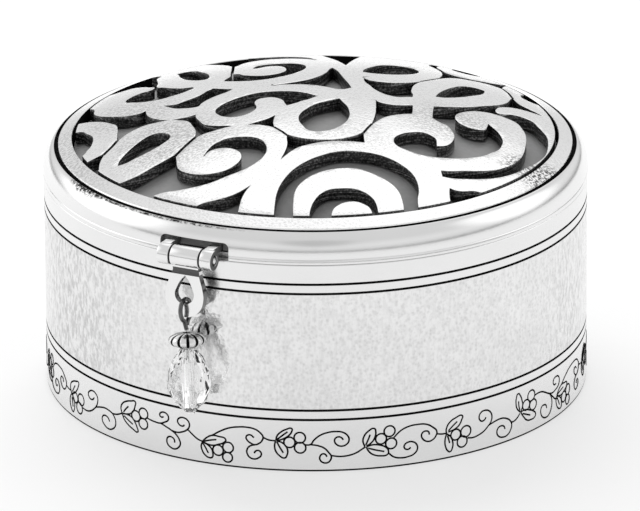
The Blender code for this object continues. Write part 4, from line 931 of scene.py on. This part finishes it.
def make_body_shell():
    """The cup, with its four ring lines and a black foot edge that is a painted contact shadow."""
    soft = 0.00012
    rows = [
        (0, FLOOR_TOP, 2),
        (INNER_RADIUS, FLOOR_TOP, 2),
        (INNER_RADIUS, SEAM_HEIGHT, 2),
        (WALL_RADIUS - soft, SEAM_HEIGHT, 2),
        (WALL_RADIUS, SEAM_HEIGHT - soft, 2),
    ]
    grooves = [
        groove_rows(WALL_RADIUS, height, LINE_HALF_WIDTH, LINE_DEPTH)
        for height in RING_LINE_HEIGHTS]
    for index, rows_of_groove in enumerate(grooves):
        rows += rows_of_groove
        if index != 1:
            rows[-1] = (*rows[-1][:2], 2)
    rows += [
        # The lowest edge is black: a painted contact shadow along the floor line.
        (WALL_RADIUS, FOOT_EDGE + 3 * soft, 1),
        (WALL_RADIUS - 0.3 * soft, FOOT_EDGE + soft, 1),
        (WALL_RADIUS - soft, FOOT_EDGE, 1),
        (INNER_RADIUS, FOOT_EDGE, 2),
        (INNER_RADIUS, FLOOR_BOTTOM, 2),
        (0, FLOOR_BOTTOM, 2),
    ]
    shell = lathe("cup_shell", rows, [silver_wall, black_line, silver_plain])
    return hold(shell, "box_body", "hammered_silver", "body_shell")


def make_lid_ring():
    """The lid's ring, with its rounded shoulder, groove and notches."""
    slope = (PANEL_EDGE_HEIGHT - GROOVE_HEIGHT) / (GROOVE_RADIUS - OPENING_RADIUS)
    inner = GROOVE_RADIUS - GROOVE_HALF_WIDTH
    outer = GROOVE_RADIUS + GROOVE_HALF_WIDTH
    rows = [
        (OPENING_RADIUS, PANEL_EDGE_HEIGHT - 0.00012, 1),
        (OPENING_RADIUS + 0.0001, PANEL_EDGE_HEIGHT, 1),
        (inner - 0.0001, GROOVE_HEIGHT + slope * (GROOVE_RADIUS - inner), 1),
        (inner, GROOVE_HEIGHT - 0.00012, 2),
        (inner + 0.0001, GROOVE_HEIGHT - GROOVE_DEPTH, 2),
        (outer - 0.0001, GROOVE_HEIGHT - GROOVE_DEPTH, 2),
    ]
    foot = CREASE_HEIGHT + 0.00018
    end = math.radians(74)
    across = (BODY_RADIUS - outer) / (1 - math.cos(end))
    up = (GROOVE_HEIGHT - GROOVE_DROP - foot) / math.sin(end)
    count = 22
    for step in range(count + 1):
        turn = end * (1 - step / count)
        rows.append((BODY_RADIUS - across * (1 - math.cos(turn)), foot + up * math.sin(turn), 0))
    rows += [
        (BODY_RADIUS - 0.00012, CREASE_HEIGHT, 0),
        (BODY_RADIUS, CREASE_HEIGHT - 0.00018, 0),
        (BODY_RADIUS, LIP_BOTTOM + 0.00012, 0),
        (BODY_RADIUS - 0.00012, LIP_BOTTOM, 0),
        (INNER_RADIUS, LIP_BOTTOM, 0),
        (INNER_RADIUS, LEDGE_BOTTOM, 0),
        (LEDGE_RADIUS, LEDGE_BOTTOM, 0),
        # The ledge top and the inner wall of the opening are black: painted shade in the gap round the
        # panel.
        (LEDGE_RADIUS, LEDGE_TOP, 2),
        (OPENING_RADIUS, LEDGE_TOP, 2),
    ]
    ring = lathe("lid_ring", rows, [silver_shoulder, silver_ring, black_line, notch_shade_grey])
    # The notch walls take the painted shade grey.
    for name, width, side in (("pull_notch", 0.0136, -1), ("hinge_notch", 0.0108, 1)):
        cutter = notch_tool(name, width, side)
        cutter.data.materials.append(notch_shade_grey)
        combine(ring, cutter, transfer=True)
    shade_round(ring)
    return hold(ring, "lid", "polished_silver", "lid_rim")


def notch_tool(name, width, side):
    """A notch open at the lid's lower edge, with rounded top corners."""
    half = width / 2
    bend = 0.0011
    low = LID_BOTTOM - 0.002
    outline = [(-half, low, CORNER), (half, low, CORNER)]
    arc = []
    for step in range(7):
        turn = math.pi / 2 * step / 6
        sideways = half - bend + bend * math.cos(turn)
        arc.append((sideways, NOTCH_TOP - bend + bend * math.sin(turn), CORNER))
    outline += arc
    outline += [(-place[0], place[1], CORNER) for place in reversed(arc)]
    depth = 0.0042
    tool = flat_outline(name, [outline], depth, 1)
    middle = side * (NOTCH_FLOOR + depth / 2)
    tool.matrix_world = Matrix.Translation((0, middle, 0)) @ Matrix.Rotation(math.pi / 2, 4, "X")
    return tool


def barrel(name, radius, length, centre, ends=0.00022, collection=None):
    """A round barrel along X with softly rounded ends."""
    rows = [(0, length / 2, 0)]
    for step in range(4):
        turn = math.pi / 2 * step / 3
        out = radius - ends + ends * math.sin(turn)
        rows.append((out, length / 2 - ends + ends * math.cos(turn), 0))
    rows += [(row[0], -row[1], 0) for row in reversed(rows)]
    item = lathe(name, rows, [], 64, collection or tools)
    item.data.transform(Matrix.Rotation(math.pi / 2, 4, "Y"))
    item.data.transform(Matrix.Translation(centre))
    return item


def make_knuckle(name, node, body, axis, radius, length, offset, arm):
    """One hinge knuckle with its arm, or else its leaf, bored for the pin."""
    centre = axis + Vector((offset, 0, 0))
    item = barrel(name, radius, length, centre, collection=pieces)
    side = math.copysign(1, axis.y)
    if arm:
        back = axis.y - side * (radius - 0.0003)
        outline = [
            (axis.y, axis.z, CORNER), (axis.y, TAIL_TOP, CORNER),
            (side * TAIL_END, TAIL_TOP, CORNER), (side * TAIL_END, TAIL_BOTTOM, CORNER),
            (back, TAIL_BOTTOM, CORNER), (back, axis.z, CORNER)]
        strap = flat_outline(name + "_arm", [outline], length - 0.0006, 1)
        strap.matrix_world = Matrix.Translation((offset, 0, 0)) @ UPRIGHT
        combine(item, strap, "UNION")
    else:
        half = length / 2 - 0.0003
        outline = [
            (offset - half, axis.z, CORNER), (offset + half, axis.z, CORNER),
            (offset + half, axis.z - 0.0066), (offset + half - 0.0014, axis.z - 0.0080),
            (offset - half + 0.0014, axis.z - 0.0080), (offset - half, axis.z - 0.0066)]
        plate = flat_outline(name + "_leaf", [outline], 0.0030, 6)
        upright = Matrix.Rotation(math.pi / 2, 4, "X")
        plate.matrix_world = Matrix.Translation((0, 0.0498, 0)) @ upright
        combine(item, plate, "UNION")
        combine(item, rod(name + "_wall", 0.0503, 0.06, (0, 0, 0.03), "Z", 256))
    combine(item, rod(name + "_bore", BORE_RADIUS, length + 0.002, centre))
    item.data.materials.clear()
    item.data.materials.append(silver_polished)
    soften(item, 0.00010)
    # The knuckles' flat ends are painted dark grey as shade.
    finish_ends(item, painted_shade_grey)
    return hold(item, body, "polished_silver", node)


def finish_ends(item, material, lowest=-1.0):
    """Give the flat ends that face along X a finish of their own."""
    item.data.materials.append(material)
    for face in item.data.polygons:
        if abs(face.normal.x) > 0.9 and face.center.z > lowest:
            face.material_index = len(item.data.materials) - 1


def make_hinges():
    """The knuckles and pins of the pull and of the rear hinge."""
    for name, node, offset in (
            ("pull_barrel_left", "pull_knuckle_left", -PULL_SIDE_OFFSET),
            ("pull_barrel_right", "pull_knuckle_right", PULL_SIDE_OFFSET)):
        make_knuckle(
            name, node, "lid", PULL_AXIS, PULL_BARREL_RADIUS, PULL_SIDE_LENGTH, offset, arm=True)
    for name, node, offset in (
            ("rear_barrel_left", "rear_knuckle_left", -REAR_SIDE_OFFSET),
            ("rear_barrel_right", "rear_knuckle_right", REAR_SIDE_OFFSET)):
        make_knuckle(
            name, node, "box_body", REAR_AXIS, REAR_BARREL_RADIUS, REAR_SIDE_LENGTH, offset,
            arm=False)
    make_knuckle(
        "rear_barrel_middle", "rear_lid_knuckle", "lid", REAR_AXIS, REAR_BARREL_RADIUS,
        REAR_MIDDLE_LENGTH, 0, arm=True)
    for name, node, body, axis, length in (
            ("pull_pin_rod", "pull_pin", "lid", PULL_AXIS, PULL_PIN_LENGTH),
            ("rear_pin_rod", "rear_hinge_pin", "box_body", REAR_AXIS, REAR_PIN_LENGTH)):
        pin = barrel(name, PIN_RADIUS, length, axis, 0.0003, pieces)
        pin.data.materials.append(dark_wire)
        finish_ends(pin, silver_polished)
        hold(pin, body, "wire", node)


def hung_from(axis, tilt):
    """The frame of a piece that hangs from an axis along X, tilted out at the front."""
    return Matrix.Translation(axis) @ Matrix.Rotation(-tilt, 4, "X")


def mirrored(points):
    """The same points on the other side, in the opposite order."""
    return [(-point[0], *point[1:]) for point in reversed(points)]


def make_pull_loop():
    """The teardrop loop with its barrel."""
    right = [(0.0026, 0, CORNER), (0.0026, -0.0024), (0.0029, -0.0036), (0.00355, -0.0056),
             (0.0038, -0.0074), (0.0032, -0.0094), (0.0018, -0.0106)]
    outside = right + [(0, -0.0110)] + mirrored(right)
    side = [(0.0009, -0.0044), (0.0016, -0.0058), (0.0019, -0.0069), (0.00135, -0.0081)]
    hole = [(0, -0.0033, CORNER)] + side + [(0, -0.0086)] + mirrored(side)
    loop = flat_outline("teardrop_pull", [outside], LOOP_THICKNESS, 12, pieces)
    combine(loop, flat_outline("teardrop_hole", [hole], 0.004, 12))
    loop.data.transform(Matrix.Rotation(math.pi / 2, 4, "X"))
    soften(loop, 0.0003, 3, math.radians(50))
    middle = barrel("teardrop_barrel", PULL_BARREL_RADIUS, PULL_MIDDLE_LENGTH, Vector((0, 0, 0)))
    combine(loop, middle, "UNION")
    combine(loop, rod("teardrop_bore", BORE_RADIUS, 0.008))
    loop.data.materials.clear()
    loop.data.materials.append(silver_polished)
    loop.data.materials.append(painted_shade_grey)
    # The cove under the barrel is painted dark grey as shade.
    cove = rod("teardrop_cove", 0.00075, 0.0058, (0, -0.00118, -0.0026))
    cove.data.materials.append(painted_shade_grey)
    combine(loop, cove, transfer=True)
    loop.data.materials.append(side_shade_silver)
    # The loop's sides and the wall of its hole take the painted shade silver.
    for face in loop.data.polygons:
        if face.center.z < -0.0030 and abs(face.normal.y) < 0.35:
            face.material_index = 2
    # The barrel's flat ends are painted dark grey as shade.
    finish_ends(loop, painted_shade_grey, -0.0024)
    shade_round(loop)
    for face in loop.data.polygons:
        face.use_smooth = abs(face.normal.y) < 0.9999
    loop.data.transform(hung_from(PULL_AXIS, LOOP_TILT))
    return hold(loop, "pull", "polished_silver", "pull_loop")


def charm_frame():
    """The charm's frame: origin at the middle of the loop's lower bar, -Z down the stem."""
    bar = hung_from(PULL_AXIS, LOOP_TILT) @ Vector((0, 0, -BAR_DROP))
    return Matrix.Translation(bar) @ Matrix.Rotation(-CHARM_LEAN, 4, "Y") @ Matrix.Rotation(
        -CHARM_TILT, 4, "X")


def make_charm():
    """The wire, the lobed bead and the crystal."""
    place = charm_frame()
    curve = bpy.data.curves.new("charm_wire_line", "CURVE")
    curve.dimensions = "3D"
    curve.bevel_depth = WIRE_RADIUS
    curve.bevel_resolution = 5
    curve.use_fill_caps = True
    path = [(0, -STEM_END), (0, -0.0036)]
    for step in range(49):
        turn = math.radians(-112 - 316 * step / 48)
        path.append((EYE_RADIUS * math.cos(turn), EYE_RADIUS * math.sin(turn) - EYE_OFFSET))
    path += [(0.0005, -0.0023), (0.0002, -0.0028)]
    spline = curve.splines.new("POLY")
    spline.points.add(len(path) - 1)
    for point, (out, up) in zip(spline.points, path):
        point.co = (0, out, up, 1)
    guide = link("charm_wire_line", curve, tools)
    bpy.context.view_layer.update()
    wire_mesh = evaluated_copy(guide)
    bpy.data.objects.remove(guide)
    tidy_mesh(wire_mesh)
    wire = link("charm_wire_piece", wire_mesh)
    combine(wire, rod("charm_head", 0.0007, 0.0003, (0, 0, -STEM_END), "Z"), "UNION")
    wire.data.materials.clear()
    wire.data.materials.append(dark_wire)
    wire.data.materials.append(silver_polished)
    # The wire inside the crystal is painted bright silver, a painted brightening as seen through the
    # glass; the eye keeps the dark wire.
    for face in wire.data.polygons:
        face.material_index = 1 if face.center.z < -0.0070 else 0
    shade_round(wire)
    wire.data.transform(place)
    hold(wire, "charm", "wire", "charm_wire")
    make_bead(place)
    make_crystal(place)


def make_bead(place):
    """The bead with twelve lobes parted by black grooves."""
    rows = 24
    steps = BEAD_LOBES * 12
    mesh = bpy.data.meshes.new("lobed_bead")
    shape = bmesh.new()
    rings = []
    for row in range(rows + 1):
        turn = math.pi * (0.5 - row / rows) * 0.93
        ring = []
        for step in range(steps):
            angle = 2 * math.pi * step / steps
            dent = (1 - abs(math.sin(BEAD_LOBES * angle / 2))) ** 3
            radius = BEAD_RADIUS * math.cos(turn) ** 0.75 * (1 - 0.13 * dent)
            height = BEAD_HALF_HEIGHT * math.sin(turn) - BEAD_DROP
            ring.append(shape.verts.new((
                radius * math.cos(angle), radius * math.sin(angle), height)))
        rings.append(ring)
    for first, second in zip(rings, rings[1:]):
        for step in range(steps):
            after = (step + 1) % steps
            face = shape.faces.new((first[step], second[step], second[after], first[after]))
            middle = 2 * math.pi * (step + 0.5) / steps
            face.material_index = 1 if 1 - abs(math.sin(BEAD_LOBES * middle / 2)) > 0.58 else 0
    shape.faces.new(rings[0])
    shape.faces.new(reversed(rings[-1]))
    bmesh.ops.recalc_face_normals(shape, faces=shape.faces)
    shape.to_mesh(mesh)
    shape.free()
    bead = link("lobed_bead", mesh)
    mesh.materials.append(bead_silver)
    mesh.materials.append(black_line)
    bore = rod("bead_bore", CHARM_BORE_RADIUS, 0.006, (0, 0, -BEAD_DROP), "Z", 32)
    combine(bead, bore, transfer=True)
    shade_round(bead)
    bead.data.transform(place)
    hold(bead, "bead", "antique_silver", "melon_bead")


def make_crystal(place):
    """The faceted drop: rings of points, each turned half a facet, as a hull."""
    mesh = bpy.data.meshes.new("crystal_bead")
    shape = bmesh.new()
    for row, (down, radius) in enumerate(CRYSTAL_RINGS):
        for facet in range(CRYSTAL_FACETS):
            turn = 2 * math.pi * (facet + (row + 1) % 2 / 2) / CRYSTAL_FACETS
            height = -CRYSTAL_DROP - down
            shape.verts.new((radius * math.cos(turn), radius * math.sin(turn), height))
    bmesh.ops.convex_hull(shape, input=shape.verts)
    bmesh.ops.recalc_face_normals(shape, faces=shape.faces)
    shape.to_mesh(mesh)
    shape.free()
    drop = link("crystal_bead", mesh)
    combine(drop, rod("crystal_bore", CHARM_BORE_RADIUS, 0.03, (0, 0, -0.013), "Z", 24))
    drop.data.materials.clear()
    drop.data.materials.append(clear_crystal)
    drop.data.shade_flat()
    drop.data.transform(place)
    hold(drop, "crystal", "crystal", "crystal_drop")


def make_vine():
    """The engraved vine round the foot of the wall, as black lines laid in the surface."""
    curve = bpy.data.curves.new("vine_lines", "CURVE")
    curve.dimensions = "3D"
    curve.bevel_depth = VINE_LINE_RADIUS
    curve.bevel_resolution = 1
    curve.use_fill_caps = True
    steps = 5
    curve.resolution_u = steps
    radius = BODY_RADIUS - 1.02 * VINE_LINE_RADIUS
    for unit, base in vine_places():
        for line in VINE_LINES[unit]:
            places = [wrapped(base + turn, height / 1000, radius) for turn, height in line]
            add_bends(curve, places, steps, False)
        for turn, height, size in VINE_BERRIES[unit]:
            places = []
            for index in range(8):
                angle = 2 * math.pi * index / 8
                sideways = math.degrees(size / 50 * math.cos(angle))
                level = (height + size * math.sin(angle)) / 1000
                places.append(wrapped(base + turn + sideways, level, radius))
            add_bends(curve, places, steps, True)
    vine = link("vine_engraving", curve)
    curve.materials.append(black_line)
    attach(vine, "box_body")


def dress_kept_nodes():
    """Finishes for the solids that show as they are."""
    for node, material in (
            ("inner_collar", inner_silver), ("floor_lining", black_pile),
            ("wall_lining", black_pile), ("base_pad", black_pile), ("lid_lining", black_pile),
            ("lid_backing", grey_sheet)):
        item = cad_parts[node]
        item.data.materials.clear()
        item.data.materials.append(material)


def set_stage():
    """The pale floor, the lamp and the world."""
    floor_mesh = bpy.data.meshes.new("floor")
    shape = bmesh.new()
    bmesh.ops.create_grid(shape, x_segments=1, y_segments=1, size=3.0)
    shape.to_mesh(floor_mesh)
    shape.free()
    floor = link("floor", floor_mesh)
    floor_mesh.materials.append(floor_finish())
    light = bpy.data.lights.new("key_lamp", "AREA")
    light.shape = "DISK"
    light.size = LAMP_SIZE
    light.energy = LAMP_ENERGY
    lamp = bpy.data.objects.new("key_lamp", light)
    bpy.context.scene.collection.objects.link(lamp)
    lamp.location = turned_to_view(LAMP_PLACE)
    lamp.visible_glossy = False
    aim = LAMP_AIM - lamp.location
    lamp.rotation_euler = aim.to_track_quat("-Z", "Y").to_euler()
    make_world()


def turned_to_view(place):
    """A place in the viewer's frame (right, away, up) as a place in the model's."""
    return Matrix.Rotation(VIEW_TURN, 3, "Z") @ Vector(place)


def floor_finish():
    """A white floor that keeps the soft shadow."""
    nodes = Nodes(bpy.data.materials.new("floor_white"))
    seen = nodes.add("ShaderNodeLightPath")
    either = nodes.math("MAXIMUM", seen.outputs["Is Camera Ray"], seen.outputs["Is Glossy Ray"])
    either = nodes.math("MAXIMUM", either, seen.outputs["Is Transmission Ray"])
    glow = nodes.add("ShaderNodeEmission", inputs={
        "Color": (1, 1, 1, 1), "Strength": nodes.math("MULTIPLY", either, FLOOR_GLOW)})
    tone = nodes.mix(either, FLOOR_UNSEEN, FLOOR_SEEN)
    matt = nodes.add("ShaderNodeBsdfDiffuse", inputs={"Color": tone})
    both = nodes.add("ShaderNodeAddShader", inputs={
        0: glow.outputs["Emission"], 1: matt.outputs["BSDF"]})
    nodes.join(both.outputs["Shader"], nodes.tree.nodes["Material Output"].inputs["Surface"])
    return nodes.owner


# The studio seen by the metal: its grey by height, and patches as (place from the viewer,
# inner and outer angle, tone)
STUDIO_SKY = ((0.0, 0.20), (0.04, 0.45), (0.12, 0.80), (0.30, 0.88), (0.55, 0.74), (1.0, 0.76))
STUDIO_PATCHES = (
    ((0.0, 0.95, 0.30), 14, 34, 0.74),
    ((0.0, -0.85, 0.50), 4, 18, 0.58),
    ((0.12, 0.64, 0.76), 15, 27, 1.15),
    ((-0.88, 0.24, 0.38), 21, 38, 1.40),
    ((0.86, 0.14, 0.46), 14, 31, 1.30),
)


def make_world():
    """White where it is seen, and for the metal a pale studio with darker gaps."""
    world = bpy.data.worlds.new("studio")
    bpy.context.scene.world = world
    world.use_nodes = True
    world.node_tree.nodes.clear()
    nodes = Nodes(world, "Generated")
    split = nodes.add("ShaderNodeSeparateXYZ", inputs={"Vector": nodes.place})
    tone = nodes.ramp(split.outputs["Z"], STUDIO_SKY)
    for middle, inner, outer, grey in STUDIO_PATCHES:
        facing = nodes.add("ShaderNodeVectorMath", operation="DOT_PRODUCT", inputs={
            0: nodes.place, 1: turned_to_view(Vector(middle).normalized())})
        edge = nodes.add("ShaderNodeMapRange", interpolation_type="SMOOTHSTEP", inputs={
            "Value": facing.outputs["Value"], "From Min": math.cos(math.radians(outer)),
            "From Max": math.cos(math.radians(inner))})
        tone = nodes.mix(edge.outputs["Result"], tone, (grey, grey, grey, 1))
    seen = nodes.add("ShaderNodeLightPath").outputs["Is Camera Ray"]
    background = nodes.add("ShaderNodeBackground", inputs={
        "Color": nodes.mix(seen, tone, (1, 1, 1, 1)), "Strength": 1.0})
    nodes.add("ShaderNodeOutputWorld", inputs={"Surface": background.outputs["Background"]})


def swung(first, second, angle):
    """Two square directions, both turned by an angle in their own plane."""
    return (first * math.cos(angle) - second * math.sin(angle),
            first * math.sin(angle) + second * math.cos(angle))


def make_camera():
    """The camera at the photograph's angle, far off with a long lens."""
    right = Vector((math.cos(VIEW_TURN), math.sin(VIEW_TURN), 0))
    away = Vector((-math.sin(VIEW_TURN), math.cos(VIEW_TURN), 0))
    forward, up = swung(away, Vector((0, 0, 1)), CAMERA_LIFT)
    place = -forward * CAMERA_DISTANCE
    right, forward = swung(right, forward, CAMERA_PAN)
    up, forward = swung(up, forward, CAMERA_TILT)
    right, up = swung(right, up, CAMERA_ROLL)
    data = bpy.data.cameras.new("camera")
    data.sensor_width = 36
    data.sensor_fit = "HORIZONTAL"
    data.lens = CAMERA_LENS
    data.clip_start = 0.05
    data.clip_end = 20
    camera = bpy.data.objects.new("camera", data)
    bpy.context.scene.collection.objects.link(camera)
    spin = Matrix((right, up, -forward)).transposed().to_4x4()
    camera.matrix_world = Matrix.Translation(place) @ spin
    bpy.context.scene.camera = camera


make_camera()
make_body_shell()
make_lid_ring()
make_scroll_panel()
make_hinges()
make_pull_loop()
make_charm()
make_vine()
dress_kept_nodes()
set_stage()
bpy.context.scene.view_settings.view_transform = "Standard"
